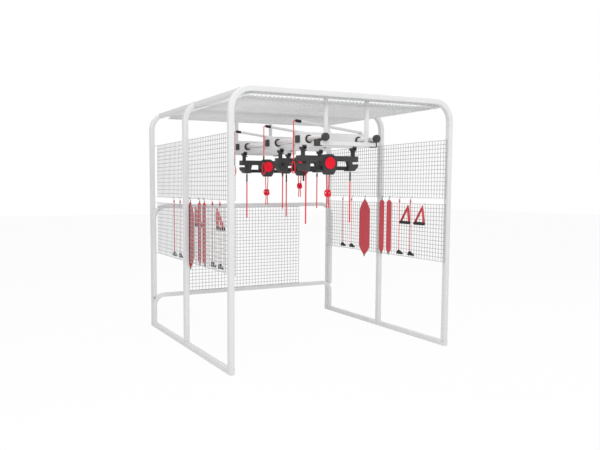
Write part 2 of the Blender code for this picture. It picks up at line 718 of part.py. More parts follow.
def make_beam(name, y):
    """A beam with its flanged bushes, a stop block and the clevis of the release arm."""
    middle = (BEAM_LEFT + BEAM_RIGHT) / 2
    extruded = outline(name, beam_rings(), (BEAM_RIGHT - BEAM_LEFT) / 2, YZ_PLANE, (middle, y, 0))
    beam = as_mesh(extruded, BEAM_PAINT)
    face = BEAM_DEPTH / 2
    inner = face - BEAM_WALL / 2
    flanges = []
    sleeves = []
    bores = []
    for x in (LEFT_SHAFT_X, RIGHT_SHAFT_X):
        for side in (-1, 1):
            flanges.append(((x, y + side * inner, SHAFT_Z), (x, y + side * (face + BUSH_FLANGE), SHAFT_Z),
                            BUSH_RADIUS))
        sleeves.append(((x, y - face - BUSH_FLANGE / 2, SHAFT_Z), (x, y + face + BUSH_FLANGE / 2, SHAFT_Z),
                        SHAFT_RADIUS + BUSH_WALL))
        bores.append(((x, y - 2 * face, SHAFT_Z), (x, y + 2 * face, SHAFT_Z), SHAFT_RADIUS + GAP))
    lap = BEAM_WALL - PLUG_LAP
    plug = boxes(name + "_plug", [((BEAM_LEFT + GAP, y - face + lap, BEAM_LOW + lap),
                                   (BEAM_LEFT + PLUG_THICKNESS, y + face - lap, BEAM_TOP - lap))])
    stop_low = (BEAM_LOW + BEAM_TOP - STOP_HEIGHT) / 2 - STOP_DROP
    stop_left = BEAM_LEFT - STOP_OUT
    stop = boxes(name + "_stop", [((stop_left, y - face - STOP_DEPTH, stop_low),
                                   (stop_left + STOP_WIDTH, y - inner, stop_low + STOP_HEIGHT))])
    ear_in = ARM_RADIUS + ARM_PLAY
    ear_out = ear_in + EAR_THICKNESS
    px, pz = ARM_PIVOT
    ears = boxes(name + "_ears", [((px - EAR_HALF_WIDTH, y + low, BEAM_TOP - BEAM_WALL / 2),
                                   (px + EAR_HALF_WIDTH, y + high, pz + EAR_HALF_WIDTH))
                                  for low, high in ((-ear_out, -ear_in), (ear_in, ear_out))])
    pin_half = ear_out + ARM_PIN_HEAD
    pin = cylinders(name + "_pin", [((px, y - pin_half, pz), (px, y + pin_half, pz), ARM_PIN_RADIUS)],
                    sides=SMALL_SIDES)
    join(beam, cylinders(name + "_flanges", flanges), cylinders(name + "_sleeves", sleeves))
    cut(beam, cylinders(name + "_bores", bores))
    join(beam, plug, stop, ears, pin)


def make_arm(name, y):
    """A release arm that rises to the left from its pivot, with a thicker tip and the cord's elbow."""
    px, pz = ARM_PIVOT
    along = Vector((-math.cos(ARM_ANGLE), 0, math.sin(ARM_ANGLE)))
    pivot = Vector((px, y, pz))
    end = pivot + along * ARM_LENGTH
    rod = (pivot + along * ARM_TUBE_START, end - along * ARM_TIP_LENGTH / 2, ARM_RADIUS)
    arm = cylinders(name, [rod], WHITE_PAINT)
    tip = cylinders(name + "_tip", [(end - along * ARM_TIP_LENGTH, end, ARM_TIP_RADIUS)])
    side = ARM_RADIUS + ARM_PLAY / 2
    barrel = cylinders(name + "_barrel", [((px, y - side, pz), (px, y + side, pz), ARM_BARREL_RADIUS)])
    bore = cylinders(name + "_bore", [((px, y - 2 * ARM_RADIUS, pz), (px, y + 2 * ARM_RADIUS, pz),
                                       ARM_PIN_RADIUS + GAP)], sides=SMALL_SIDES)
    bend = [end - along * ELBOW_LAP, end + along * ELBOW_START]
    bend += [Vector((PULL_X, y, ARM_END_Z - drop))
             for drop in (ELBOW_BEND, (ELBOW_BEND + ELBOW_DROP) / 2, ELBOW_DROP)]
    elbow = as_mesh(cord(name + "_elbow", smooth(bend, ELBOW_SPACING), PULL_RADIUS))
    cut(join(arm, tip, barrel, elbow), bore)


def smooth(points, spacing):
    """Points at an even spacing along the smooth curve through a cord's own points."""
    knots = [Vector(point) for point in points]
    ends = [2 * knots[0] - knots[1]] + knots + [2 * knots[-1] - knots[-2]]
    route = []
    for before, start, end, after in zip(ends, ends[1:], ends[2:], ends[3:]):
        steps = max(1, round((end - start).length / spacing))
        for step in range(steps):
            t = step / steps
            bend = (2 * before - 5 * start + 4 * end - after) * t ** 2
            twist = (3 * start - before - 3 * end + after) * t ** 3
            route.append(start + ((end - before) * t + bend + twist) / 2)
    return route + [knots[-1]]


def cord(name, points, radius, paint=None, closed=False):
    """A cord as a tube on a polyline."""
    curve = bpy.data.curves.new(name, "CURVE")
    curve.dimensions = "3D"
    curve.bevel_depth = radius
    curve.bevel_resolution = 2
    curve.use_fill_caps = not closed
    add_spline(curve, points, closed)
    return place(name, curve, paint)


def make_pull_cord(name, y):
    """A cord that hangs under the arm's elbow, with a sleeve and a long loop below it."""
    sleeve_top = PULL_TOP - PULL_LENGTH
    sleeve_low = sleeve_top - PULL_SLEEVE_LENGTH
    loop_top = sleeve_low + PULL_SLEEVE_LAP
    top = Vector((PULL_X, y, PULL_TOP))
    low = Vector((PULL_X, y, sleeve_top - PULL_SLEEVE_LAP))
    line = as_mesh(cord(name, smooth([top, (top + low) / 2, low], ROPE_SPACING), PULL_RADIUS), RED_ROPE)
    rod = ((PULL_X, y, sleeve_top), (PULL_X, y, sleeve_low), PULL_SLEEVE_RADIUS)
    sleeve = cylinders(name + "_sleeve", [rod], sides=SMALL_SIDES)
    ring = []
    for step in range(LOOP_STEPS):
        angle = step * 2 * math.pi / LOOP_STEPS
        share = 1 - PULL_LOOP_TAPER + PULL_LOOP_TAPER * math.sin(angle / 2)
        ring.append((PULL_X + PULL_LOOP_WIDTH / 2 * share * math.sin(angle), y,
                     loop_top - PULL_LOOP_HEIGHT / 2 * (1 - math.cos(angle))))
    loop = as_mesh(cord(name + "_loop", ring, PULL_LOOP_RADIUS, closed=True))
    join(line, sleeve, loop)


def clamp_ring():
    """The section of a clamp's head, which wraps the C track from below and holds a trolley in it."""
    cheek = BEAM_DEPTH / 2 - TRACK_INSET + TRACK_PLAY
    neck = TRACK_SLOT / 2 - TRACK_PLAY
    trolley = TRACK_CHANNEL / 2 - TRACK_PLAY
    seat = TRACK_LOW - GAP
    right = [(HEAD_HALF, HEAD_LOW), (HEAD_HALF, HEAD_LOW + HEAD_HEIGHT), (cheek, HEAD_LOW + HEAD_HEIGHT),
             (cheek, seat - TRACK_SLOPE), (neck, seat), (neck, TROLLEY_LOW),
             (trolley, TROLLEY_LOW + TRACK_SLOPE), (trolley, TROLLEY_LOW + TROLLEY_HEIGHT)]
    return right + [(-y, z) for y, z in reversed(right)]


def mirrored(points):
    """The same outline on the other side of the middle, in the opposite order."""
    return [(-px, pz) for px, pz in reversed(points)]


def make_bar(name, y, x, half):
    """A unit's bar with an open slot at each end, two windows and a recessed rail under them."""
    slot_top = UNIT_TOP - UNIT_SLOT_TOP
    slot_low = slot_top - UNIT_SLOT_HEIGHT
    slot_end = half - UNIT_SLOT_DEPTH
    right = [(half - UNIT_CHAMFER, UNIT_LOW), (half, UNIT_LOW + UNIT_CHAMFER),
             (half, slot_low + UNIT_JAW_RISE), (slot_end + UNIT_SLOT_SLANT, slot_low),
             (slot_end, slot_top), (half, slot_top), (half, UNIT_TOP)]
    far = half - UNIT_BLOCK
    top = UNIT_TOP - WINDOW_TOP
    low = top - WINDOW_HEIGHT
    window = [(WINDOW_START, low), (far, low), (far - WINDOW_SLANT, top), (WINDOW_START, top)]
    rings = [right + mirrored(right), window, mirrored(window)]
    bar = as_mesh(outline(name, rings, UNIT_DEPTH / 2, XZ_PLANE, (x, y, 0)), CHARCOAL)
    face = UNIT_DEPTH / 2
    over = POCKET_MARGIN
    pockets = []
    recesses = []
    rises = []
    for side in (-1, 1):
        near, deep = sorted((x + side * (WINDOW_START + over), x + side * (far + POCKET_REACH)))
        pockets.append(((near, y - face + WINDOW_LIP, low + over), (deep, y + face + over, top - over)))
        start, end = sorted((x + side * RAIL_START, x + side * (far - RAIL_MARGIN)))
        for front, back in ((-face - over, RAIL_RECESS - face), (face - RAIL_RECESS, face + over)):
            recesses.append(((start, y + front, UNIT_LOW - over), (end, y + back, low + over)))
        rises.append(((start, y - UNIT_DEPTH, UNIT_LOW - over), (end, y + UNIT_DEPTH, UNIT_LOW + RAIL_RISE)))
    return cut(bar, boxes(name + "_pockets", pockets), boxes(name + "_recesses", recesses),
               boxes(name + "_rises", rises))


def make_clamp(name, y, x):
    """A clamp between the bar and the track: column, cone, square head with its trolley, and a lever."""
    head = as_mesh(outline(name, [clamp_ring()], HEAD_HALF, YZ_PLANE, (x, y, 0)))
    column = ((x, y, UNIT_TOP - CLAMP_LAP), (x, y, COLUMN_TOP), COLUMN_RADIUS)
    cone = ((x, y, COLUMN_TOP - CLAMP_LAP / 2), (x, y, HEAD_LOW + CLAMP_LAP / 2), CLAMP_KNOB_LOW_RADIUS)
    lever = ((x + LEVER_START, y, COLUMN_TOP + LEVER_RISE), (x + LEVER_REACH, y, COLUMN_TOP + LEVER_RISE),
             LEVER_RADIUS)
    widening = CLAMP_KNOB_TOP_RADIUS / CLAMP_KNOB_LOW_RADIUS
    return join(head, cylinders(name + "_column", [column]),
                cylinders(name + "_cone", [cone], widening=widening),
                cylinders(name + "_lever", [lever], sides=SMALL_SIDES, widening=LEVER_TAPER))


def make_unit(name, y, size):
    """A suspension unit: bar, housing with its round cover, clamps and rope sleeves."""
    x = size["x"]
    bar = make_bar(name, y, x, size["half"])
    front = UNIT_DEPTH / 2 + HOUSING_PROUD
    ring = list(HOUSING_SHAPE) + mirrored(HOUSING_SHAPE)
    housing = as_mesh(outline(name + "_housing", [ring], front, XZ_PLANE, (x, y, UNIT_TOP)))
    behind = boxes(name + "_behind", [((x - 2 * front, y + HOUSING_FOOT_BACK, HOUSING_LOW - front),
                                       (x + 2 * front, y + 2 * front, UNIT_LOW + RAIL_RISE + GAP))])
    face = (x, y - front - DISC_PROUD, HOUSING_Z)
    disc = cylinders(name + "_disc", [(face, (x, y, HOUSING_Z), DISC_RADIUS)], sides=DISC_SIDES)
    clamps = [make_clamp(f"{name}_clamp_{cx}", y, cx) for cx in size["clamps"]]
    top = UNIT_LOW - SLEEVE_DROP
    sleeves = [((sx, y, top), (sx, y, size["sleeve_low"]), SLEEVE_RADIUS) for sx in size["sleeves"]]
    necks = [((sx, y, UNIT_LOW + CLAMP_LAP), (sx, y, top - CLAMP_LAP), size["rope_radius"])
             for sx in size["sleeves"]]
    join(bar, cut(housing, behind), disc, *clamps, cylinders(name + "_sleeves", sleeves, sides=SMALL_SIDES),
         cylinders(name + "_necks", necks, sides=SMALL_SIDES))


def make_ropes(name, y, size):
    """The two ropes, each from its sleeve or, where it hangs beside the sleeve, from the bar."""
    for side, rx, sx in zip(("left", "right"), size["ropes"], size["sleeves"]):
        top = (size["sleeve_low"] if rx == sx else UNIT_LOW) - GAP
        end = size["rope_low"]
        route = [(rx, y, top), (rx, y, (top + end) / 2), (rx, y, end)]
        cord(f"{name}_{side}_rope", smooth(route, ROPE_SPACING), size["rope_radius"], RED_ROPE)


def make_centre_cords(name, y, size):
    """Two thin cords from the housing's foot, tied in one knot, with two tails."""
    x = size["cords"]
    knot = size["knot"]
    radius = size["knot_radius"]
    strands = []
    for sign in (-1, 1):
        route = [(x + sign * CENTRE_SPREAD, y, HOUSING_LOW - GAP),
                 (x + sign * CENTRE_BEND_SPREAD, y, HOUSING_LOW - CENTRE_BEND_DROP),
                 (x + sign * KNOT_TOP_SPREAD, y, knot + radius),
                 (x + sign * KNOT_LOW_SPREAD, y, knot - radius),
                 (x + sign * CENTRE_END_SPREAD, y, size["cord_low"])]
        strands.append(cord(f"{name}_{sign}", smooth(route, CENTRE_SPACING), CENTRE_RADIUS))
    left, right = [as_mesh(strand) for strand in strands]
    shape = bmesh.new()
    bmesh.ops.create_uvsphere(shape, u_segments=KNOT_SIDES[0], v_segments=KNOT_SIDES[1], radius=radius,
                              matrix=Matrix.Translation((x, y, knot)) @ Matrix.Diagonal(KNOT_SHAPE))
    mesh = bpy.data.meshes.new(name)
    shape.to_mesh(mesh)
    shape.free()
    join(place(name, mesh, RED_ROPE), left, right)


def hook(name, side, y, wire_low, foot, leg=HOOK_LEG):
    """An upturned U over a grille's wire, with a long leg on the room side."""
    wire_top = wire_low + WIRE
    near = GRILLE_INNER - GAP
    far = GRILLE_INNER + WIRE + GAP
    crown = wire_top + GAP + HOOK_CROWN
    tail = wire_low - HOOK_TAIL_LENGTH
    ring = [(near - leg, foot), (near, foot), (near, wire_top + GAP), (far, wire_top + GAP), (far, tail),
            (far + HOOK_TAIL, tail), (far + HOOK_TAIL, crown), (near - leg, crown)]
    ring = [(side * px, pz) for px, pz in ring]
    return as_mesh(outline(name + "_hook", [ring], HOOK_WIDTH / 2, XZ_PLANE, (0, y, 0)))


def sling_ring(width, height, top_taper, low_taper):
    """A long outline that narrows to a small tip at both ends, as (y, z) about its middle."""
    w = width / 2
    t = SLING_TIP / 2
    foot = SLING_TOP - height
    right = [(t, foot), (w * SLING_SHARE, foot + low_taper * SLING_LOW_PLACE), (w, foot + low_taper),
             (w, SLING_TOP - top_taper), (w * SLING_SHARE, SLING_TOP - top_taper * SLING_TOP_PLACE),
             (t, SLING_TOP)]
    return right + [(-py, pz) for py, pz in reversed(right)]


def make_slings():
    plane = GRILLE_INNER - GAP - HOOK_LEG / 2
    for places, size in ((WIDE_SLINGS, WIDE_SLING), (NARROW_SLINGS, NARROW_SLING)):
        for name, distance in places.items():
            side = -1 if name.startswith("left") else 1
            y = SIDE_GRILLE_Y + distance
            cloth = outline(name, [sling_ring(*size)], SLING_THICKNESS / 2, YZ_PLANE, (side * plane, y, 0))
            join(as_mesh(cloth, RED_FABRIC), hook(name, side, y, UPPER_GRILLE_Z, SLING_TOP - HOOK_LAP))


def make_thin_cords():
    """A ferrule on a hook, a thin cord, and the moulded piece on its end."""
    back = END_PIECE_BACK
    front = END_PIECE_BACK - END_PIECE_LENGTH
    neck = END_PIECE_NECK / 2
    foot = -END_PIECE_HEIGHT
    ring = [(front, foot), (back, foot), (back, foot + END_PIECE_HEEL), (neck, 0.0), (-neck, 0.0),
            (front, foot + END_PIECE_TOE)]
    for name, distance in THIN_CORDS.items():
        side = -1 if name.startswith("left") else 1
        y = SIDE_GRILLE_Y + distance
        x = side * (GRILLE_INNER - GAP - END_PIECE_DEPTH / 2)
        middle = (FERRULE_TOP + THIN_LOW) / 2
        route = [(x, y, FERRULE_TOP - HOOK_LAP), (x, y, middle), (x, y, THIN_LOW - HOOK_LAP)]
        line = as_mesh(cord(name, smooth(route, THIN_SPACING), THIN_RADIUS), RED_ROPE)
        rod = ((x, y, FERRULE_TOP), (x, y, FERRULE_TOP - FERRULE_LENGTH), FERRULE_RADIUS)
        ferrule = cylinders(name + "_ferrule", [rod], sides=SMALL_SIDES)
        end_piece = as_mesh(outline(name + "_end", [ring], END_PIECE_DEPTH / 2, YZ_PLANE, (x, y, THIN_LOW)))
        join(line, ferrule, end_piece, hook(name, side, y, UPPER_GRILLE_Z, FERRULE_TOP - HOOK_LAP))


def make_handles():
    """A triangle of webbing with a grip along its foot, hung on the lower grille's top wire."""
    half = HANDLE_WIDTH / 2
    peak = HANDLE_PEAK / 2
    low = -HANDLE_HEIGHT - WEBBING / 2
    for name, (distance, lean) in HANDLES.items():
        side = -1 if name.startswith("left") else 1
        y = SIDE_GRILLE_Y + distance
        x = side * (GRILLE_INNER - HANDLE_OFFSET - WEBBING_WIDTH / 2)
        outer = [(lean - peak, 0.0), (-half, low + 2 * WEBBING), (-half, low), (half, low),
                 (half, low + 2 * WEBBING), (lean + peak, 0.0)]
        inner = [(lean, -HANDLE_PEAK), (STRAP_CORNER - half, low + WEBBING),
                 (half - STRAP_CORNER, low + WEBBING)]
        strap = outline(name, [outer, inner], WEBBING_WIDTH / 2, YZ_PLANE, (x, y, HANDLE_TOP))
        webbing = as_mesh(strap, RED_FABRIC)
        rod = ((0, y - GRIP_LENGTH / 2, 0), (0, y + GRIP_LENGTH / 2, 0), GRIP_RADIUS)
        grip = cylinders(name + "_grip", [rod])
        tilt = Matrix.Translation((x, 0, HANDLE_TOP)) @ Matrix.Rotation(side * HANDLE_TILT, 4, "Y")
        webbing.matrix_world = tilt @ Matrix.Translation((-x, 0, -HANDLE_TOP)) @ webbing.matrix_world
        grip.matrix_world = tilt @ Matrix.Translation((0, 0, -HANDLE_HEIGHT))
        hanger = hook(name, side, y + lean, LOWER_GRILLE_TOP - WIRE, HANDLE_TOP - HOOK_LAP, HANDLE_HOOK_LEG)
        join(webbing, grip, hanger)


make_hoops()
make_floor_rails()
make_top_rails()
make_arches()
make_side_grilles()
make_rear_grille()
make_ceiling_grille()
make_shafts()
make_hanger_frames()
for where, carriage in CARRIAGES.items():
    beam_y = BEAM_Y[where]
    make_beam(where + "_beam", beam_y)
    make_arm(where + "_release_arm", beam_y)
    make_pull_cord(where + "_pull_cord", beam_y)
    make_unit(where + "_suspension_unit", beam_y, carriage)
    make_ropes(where, beam_y, carriage)
    make_centre_cords(where + "_centre_cords", beam_y, carriage)
make_slings()
make_thin_cords()
make_handles()

bpy.context.view_layer.update()
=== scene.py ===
"""Suspension rehabilitation frame, in metres: +Z up, open front towards -Y, origin on the floor."""
import math

import bpy
import mathutils
import numpy as np
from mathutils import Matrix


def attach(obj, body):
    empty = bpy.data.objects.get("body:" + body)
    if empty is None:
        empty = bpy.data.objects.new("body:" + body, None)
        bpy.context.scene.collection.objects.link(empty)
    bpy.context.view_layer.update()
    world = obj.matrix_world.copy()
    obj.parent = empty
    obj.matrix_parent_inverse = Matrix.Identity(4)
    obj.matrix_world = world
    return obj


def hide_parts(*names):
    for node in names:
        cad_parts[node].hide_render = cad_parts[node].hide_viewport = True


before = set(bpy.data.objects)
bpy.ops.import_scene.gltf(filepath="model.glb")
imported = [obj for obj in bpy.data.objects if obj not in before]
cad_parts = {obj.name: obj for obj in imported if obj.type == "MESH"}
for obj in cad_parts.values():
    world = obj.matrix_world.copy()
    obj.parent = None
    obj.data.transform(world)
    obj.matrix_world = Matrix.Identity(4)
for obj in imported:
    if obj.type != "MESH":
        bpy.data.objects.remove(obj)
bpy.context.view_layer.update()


# Camera. It stands in front of the open side, a little to the left, at eye height.
def linked(name, data):
    """A new object in the scene."""
    made = bpy.data.objects.new(name, data)
    bpy.context.scene.collection.objects.link(made)
    return made


camera_data = bpy.data.cameras.new("camera")
camera_data.lens = 38.354
camera_data.sensor_width = 36.0
camera_data.shift_x = 0.0946
camera_data.shift_y = 0.0219
camera = linked("camera", camera_data)
camera.location = (-3.3276, -5.8302, 1.5698)
camera.rotation_euler = (math.pi / 2 - 0.0802, 0.0, -0.4456)
bpy.context.scene.camera = camera


# Ropes. Six braided ropes of 11 to 13 mm, two under each suspension unit. Each hangs straight out of
# a rubber sleeve, the front left one out of the bar beside its sleeve. They end cut and melted round.
UNITS = {
    "front": dict(y=-0.741, x=-0.023, half=0.320, clamps=(-0.2905, 0.2615), sleeves=(-0.2825, 0.2323),
                  ropes=(-0.257, 0.2323), rope_tops=(1.7177, 1.6217), sleeve_low=1.622, rope_end=1.226,
                  rope_radius=0.0065, cords=-0.018, knot=1.507, cord_end=1.370, knot_radius=0.035),
    "middle": dict(y=-0.154, x=0.030, half=0.275, clamps=(-0.202, 0.2597), sleeves=(-0.176, 0.2305),
                   ropes=(-0.176, 0.2305), rope_tops=(1.6707, 1.6707), sleeve_low=1.671, rope_end=1.347,
                   rope_radius=0.0055, cords=0.023, knot=1.578, cord_end=1.466, knot_radius=0.028),
    "rear": dict(y=0.539, x=0.003, half=0.318, clamps=(-0.2737, 0.2797), sleeves=(-0.2405, 0.2575),
                 ropes=(-0.2405, 0.2575), rope_tops=(1.6217, 1.6217), sleeve_low=1.622, rope_end=1.226,
                 rope_radius=0.0065, cords=0.005, knot=1.507, cord_end=1.370, knot_radius=0.036),
}


def add(tree, kind, inputs=None, **settings):
    """A shader node with its settings; each input gets a value or another node's output."""
    made = tree.nodes.new(kind)
    for key, value in settings.items():
        setattr(made, key, value)
    for key, value in (inputs or {}).items():
        if isinstance(value, bpy.types.NodeSocket):
            tree.links.new(value, made.inputs[key])
        else:
            made.inputs[key].default_value = value
    return made.outputs


def calc(tree, operation, *values):
    """One Math node's output for an operation and its values."""
    return add(tree, "ShaderNodeMath", dict(enumerate(values)), operation=operation)[0]


def noise(tree, scale, detail):
    """Noise in the object's own coordinates, with patches of one over scale metres."""
    where = add(tree, "ShaderNodeTexCoord")["Object"]
    return add(tree, "ShaderNodeTexNoise", {"Vector": where, "Scale": scale, "Detail": detail})[0]


def principled(name, colour, roughness, metallic=0.0, specular=0.5):
    """A material with one Principled shader, and its node tree."""
    material = bpy.data.materials.new(name)
    material.use_nodes = True
    tree = material.node_tree
    shader = tree.nodes["Principled BSDF"]
    shader.inputs["Base Color"].default_value = (*colour, 1.0)
    shader.inputs["Roughness"].default_value = roughness
    shader.inputs["Metallic"].default_value = metallic
    shader.inputs["Specular IOR Level"].default_value = specular
    return material, tree, shader


def coat(tree, shader, amount, dark, light, roughness, height, strength, distance):
    """Base colour between a dark and a light one, and roughness between two values, by one amount,
    and bump from a height between 0 and 1, distance metres high."""
    tint = add(tree, "ShaderNodeMix", {0: amount, 6: (*dark, 1.0), 7: (*light, 1.0)}, data_type="RGBA")
    rough = add(tree, "ShaderNodeMapRange", {0: amount, 3: roughness[0], 4: roughness[1]})
    bump = add(tree, "ShaderNodeBump", {"Height": height, "Strength": strength, "Distance": distance})
    for socket, value in (("Base Color", tint[2]), ("Roughness", rough[0]), ("Normal", bump[0])):
        tree.links.new(value, shader.inputs[socket])


def crossing(tree, first, second, turns):
    """The sines of two values times a number of turns, multiplied, and moved to between 0 and 1."""
    angles = [calc(tree, "MULTIPLY", value, turns * 2 * math.pi) for value in (first, second)]
    product = calc(tree, "MULTIPLY", calc(tree, "SINE", angles[0]), calc(tree, "SINE", angles[1]))
    return add(tree, "ShaderNodeMapRange", {0: product, 1: -1.0, 2: 1.0})[0]


def braid(name, dark, light, strands, pitch):
    """Braided cord: two families of helices, u times strands plus and minus length over pitch."""
    material, tree, shader = principled(name, light, 0.75, specular=0.2)
    uv = add(tree, "ShaderNodeSeparateXYZ", {0: add(tree, "ShaderNodeUVMap", uv_map="surface")[0]})
    around = calc(tree, "MULTIPLY", uv[0], float(strands))
    along = calc(tree, "MULTIPLY", uv[1], 1.0 / pitch)
    rising = calc(tree, "ADD", around, along)
    falling = calc(tree, "SUBTRACT", around, along)
    height = crossing(tree, rising, falling, 1.0)
    coat(tree, shader, height, dark, light, (0.85, 0.65), height, 0.6, 0.0006)
    return material, "red_rope"


def columns(*parts):
    """Arrays side by side, as the last axis of one array."""
    return np.stack(parts, axis=-1)


def circle(radius, sides):
    """Points of a circle, counter-clockwise."""
    angle = np.arange(sides) * 2 * np.pi / sides
    return radius * columns(np.cos(angle), np.sin(angle))


def skin(rings, loop=False):
    """Quads between neighbouring rings of points, each ring closed on itself, and a face over both
    ends unless the rings close in a loop. UV is 0 to 1 round a ring, and metres along the rings."""
    count, sides = rings.shape[:2]
    middle = rings.mean(axis=1)
    along = np.append(0.0, np.cumsum(np.linalg.norm(np.roll(middle, -1, axis=0) - middle, axis=1)))
    here = np.arange(count if loop else count - 1)[:, None]
    there = (here + 1) % count
    side = np.arange(sides)[None, :]
    after = (side + 1) % sides
    quads = columns(here * sides + side, here * sides + after, there * sides + after,
                    there * sides + side).reshape(-1, 4)
    row = here + 0 * side
    column = side + 0 * here
    u = columns(column, column + 1, column + 1, column) / sides
    v = along[columns(row, row, row + 1, row + 1)]
    corners = columns(u, v).reshape(-1, 2)
    groups = [quads]
    if not loop:
        groups += [np.arange(sides)[None, ::-1], np.arange((count - 1) * sides, count * sides)[None]]
        corners = np.concatenate([corners, np.zeros((2 * sides, 2))])
    return rings.reshape(-1, 3), groups, corners


def unit(vectors):
    """Vectors of length 1."""
    return vectors / np.linalg.norm(vectors, axis=-1, keepdims=True)


def sweep(path, profile, across, loop=False):
    """A flat profile carried along a path: point j of ring i is path point i, plus the profile's
    first number times the sideways direction there, plus its second times the one square to both."""
    step = np.roll(path, -1, axis=0) - path
    if not loop:
        step[-1] = step[-2]
    step = unit(step)
    before = np.roll(step, 1, axis=0)
    if not loop:
        before[0] = step[0]
    tangent = unit(step + before)
    across = np.broadcast_to(across, path.shape)
    sideways = unit(across - tangent * np.sum(across * tangent, axis=1, keepdims=True))
    upright = np.cross(tangent, sideways)
    profile = np.broadcast_to(profile, (len(path),) + np.shape(profile)[-2:])
    rings = path[:, None] + profile[..., :1] * sideways[:, None] + profile[..., 1:] * upright[:, None]
    return skin(rings, loop)


def tube(path, radius, across=(0, 1, 0), sides=12, loop=False):
    """A round tube along a path, with one radius or one for each point."""
    radius = np.broadcast_to(radius, len(path))
    return sweep(path, radius[:, None, None] * circle(1.0, sides), across, loop)


def domed(path, radius):
    """The path and radii of a cord whose ends are round: the last radius of length follows most of
    a quarter circle, at the sine along the path and the cosine across it."""
    turn = np.linspace(0, math.radians(78), 5)[:, None]
    first = unit(path[0] - path[1])
    last = unit(path[-1] - path[-2])
    start = path[0] + radius * first * (np.sin(turn[::-1]) - 1)
    end = path[-1] + radius * last * (np.sin(turn) - 1)
    shrink = radius * np.cos(turn[:, 0])
    return (np.concatenate([start, path[1:-1], end]),
            np.concatenate([shrink[::-1], np.full(len(path) - 2, radius), shrink]))


def piece(name, shells, finish, node, body="root", sharp=35.0):
    """One object made of shells of points, faces and UV corners. Its finish is a material and the
    CAD's slot for it; the slot is not used. It stands for a CAD node and rides a body."""
    material, slot = finish
    starts = np.cumsum([0] + [len(shell[0]) for shell in shells])
    points = np.concatenate([shell[0] for shell in shells])
    faces = []
    for start, shell in zip(starts, shells):
        for group in shell[1]:
            faces += (group + start).tolist()
    mesh = bpy.data.meshes.new(name)
    mesh.from_pydata(points.tolist(), [], faces)
    layer = mesh.uv_layers.new(name="surface")
    layer.data.foreach_set("uv", np.concatenate([shell[2] for shell in shells]).astype(np.float32).ravel())
    mesh.materials.append(material)
    mesh.polygons.foreach_set("use_smooth", [len(face) == 4 for face in faces])
    mesh.set_sharp_from_angle(angle=math.radians(sharp))
    obj = linked(name, mesh)
    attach(obj, body)
    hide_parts(node)
    return obj


ROPE = braid("braided_rope", (0.8, 0.016, 0.038), (1.0, 0.03, 0.062), 6, 0.011)
for place, spec in UNITS.items():
    radius = spec["rope_radius"]
    for side, x, top in zip(("left", "right"), spec["ropes"], spec["rope_tops"]):
        route = np.linspace((x, spec["y"], top), (x, spec["y"], spec["rope_end"]), 24)
        node = f"{place}_{side}_rope"
        rope = piece(node + "_cord", [tube(*domed(route, radius), sides=16)], ROPE, node, place + "_unit")


# Centre cords. Two thin braided cords leave the foot of each housing, meet in one round knot of 6 to
# 7 cm and hang on as two short tails.
FOOT_LOW = 1.6817
CENTRE_RADIUS = 0.0045
SIDES = (("left", -1), ("right", 1))


def through(points, count):
    """A smooth route through a few points: a cubic between each pair, whose slope at a point is
    half the step between its neighbours, read at even distances along it."""
    points = np.asarray(points, float)
    ends = np.concatenate([[2 * points[0] - points[1]], points, [2 * points[-1] - points[-2]]])
    t = np.linspace(0, 1, 40)[None, :, None]
    a, b, c, d = (ends[k:len(ends) - 3 + k, None] for k in range(4))
    fine = b + ((c - a) * t + (2 * a - 5 * b + 4 * c - d) * t ** 2 + (3 * b - a - 3 * c + d) * t ** 3) / 2
    fine = fine.reshape(-1, points.shape[1])
    length = np.append(0.0, np.cumsum(np.linalg.norm(np.diff(fine, axis=0), axis=1)))
    even = np.linspace(0, length[-1], count)
    return columns(*[np.interp(even, length, fine[:, k]) for k in range(points.shape[1])])


def knot(centre, radius, lift):
    """One strand of the knot, as a closed winding round a ring: two turns round its axis while it
    winds five times round the ring's own line, lifted a little to lie beside its neighbour."""
    t = np.linspace(0, 2 * np.pi, 120, endpoint=False)
    ring = radius * (0.5 + 0.36 * np.cos(5 * t))
    core = columns(np.cos(2 * t), 0.8 * np.sin(2 * t), 0 * t)
    path = ring[:, None] * core
    path[:, 2] = 0.72 * radius * np.sin(5 * t) + lift
    outward = path - 0.5 * radius * core
    return tube(centre + path, 1.15 * CENTRE_RADIUS, outward, sides=8, loop=True)


CORD = braid("braided_thin_cord", (0.8, 0.018, 0.042), (1.0, 0.034, 0.07), 4, 0.007)
for place, spec in UNITS.items():
    x = spec["cords"]
    y = spec["y"]
    middle = spec["knot"]
    radius = spec["knot_radius"]
    node = f"{place}_centre_cords"
    windings = [knot((x, y, middle), radius, lift) for lift in (-0.003, 0.005)]
    tied = piece(place + "_centre_knot", windings, CORD, node, place + "_unit")
    for side, sign in SIDES:
        route = through([(x + sign * 0.0155, y, FOOT_LOW), (x + sign * 0.0145, y, FOOT_LOW - 0.05),
                         (x + sign * 0.009, y, middle + radius), (x + sign * 0.008, y, middle - radius),
                         (x + sign * 0.0125, y, spec["cord_end"])], 30)
        shell = tube(*domed(route, CENTRE_RADIUS))
        strand = piece(f"{place}_centre_cord_{side}", [shell], CORD, node, place + "_unit")


# Pull cords. A cord hangs from the end of each release arm and is doubled back into a long loop for
# the hand. A rubber sleeve holds the doubled part, on the front cord a short crimp does.
PULL_X = -0.39052
PULL_TOP = 2.1482
PULL_RADIUS = 0.0044
SLEEVE_TOP = 1.8744
LOOP_TOP = 1.808
LOOP_LOW = 1.6935
LOOP_SWING = 0.0193


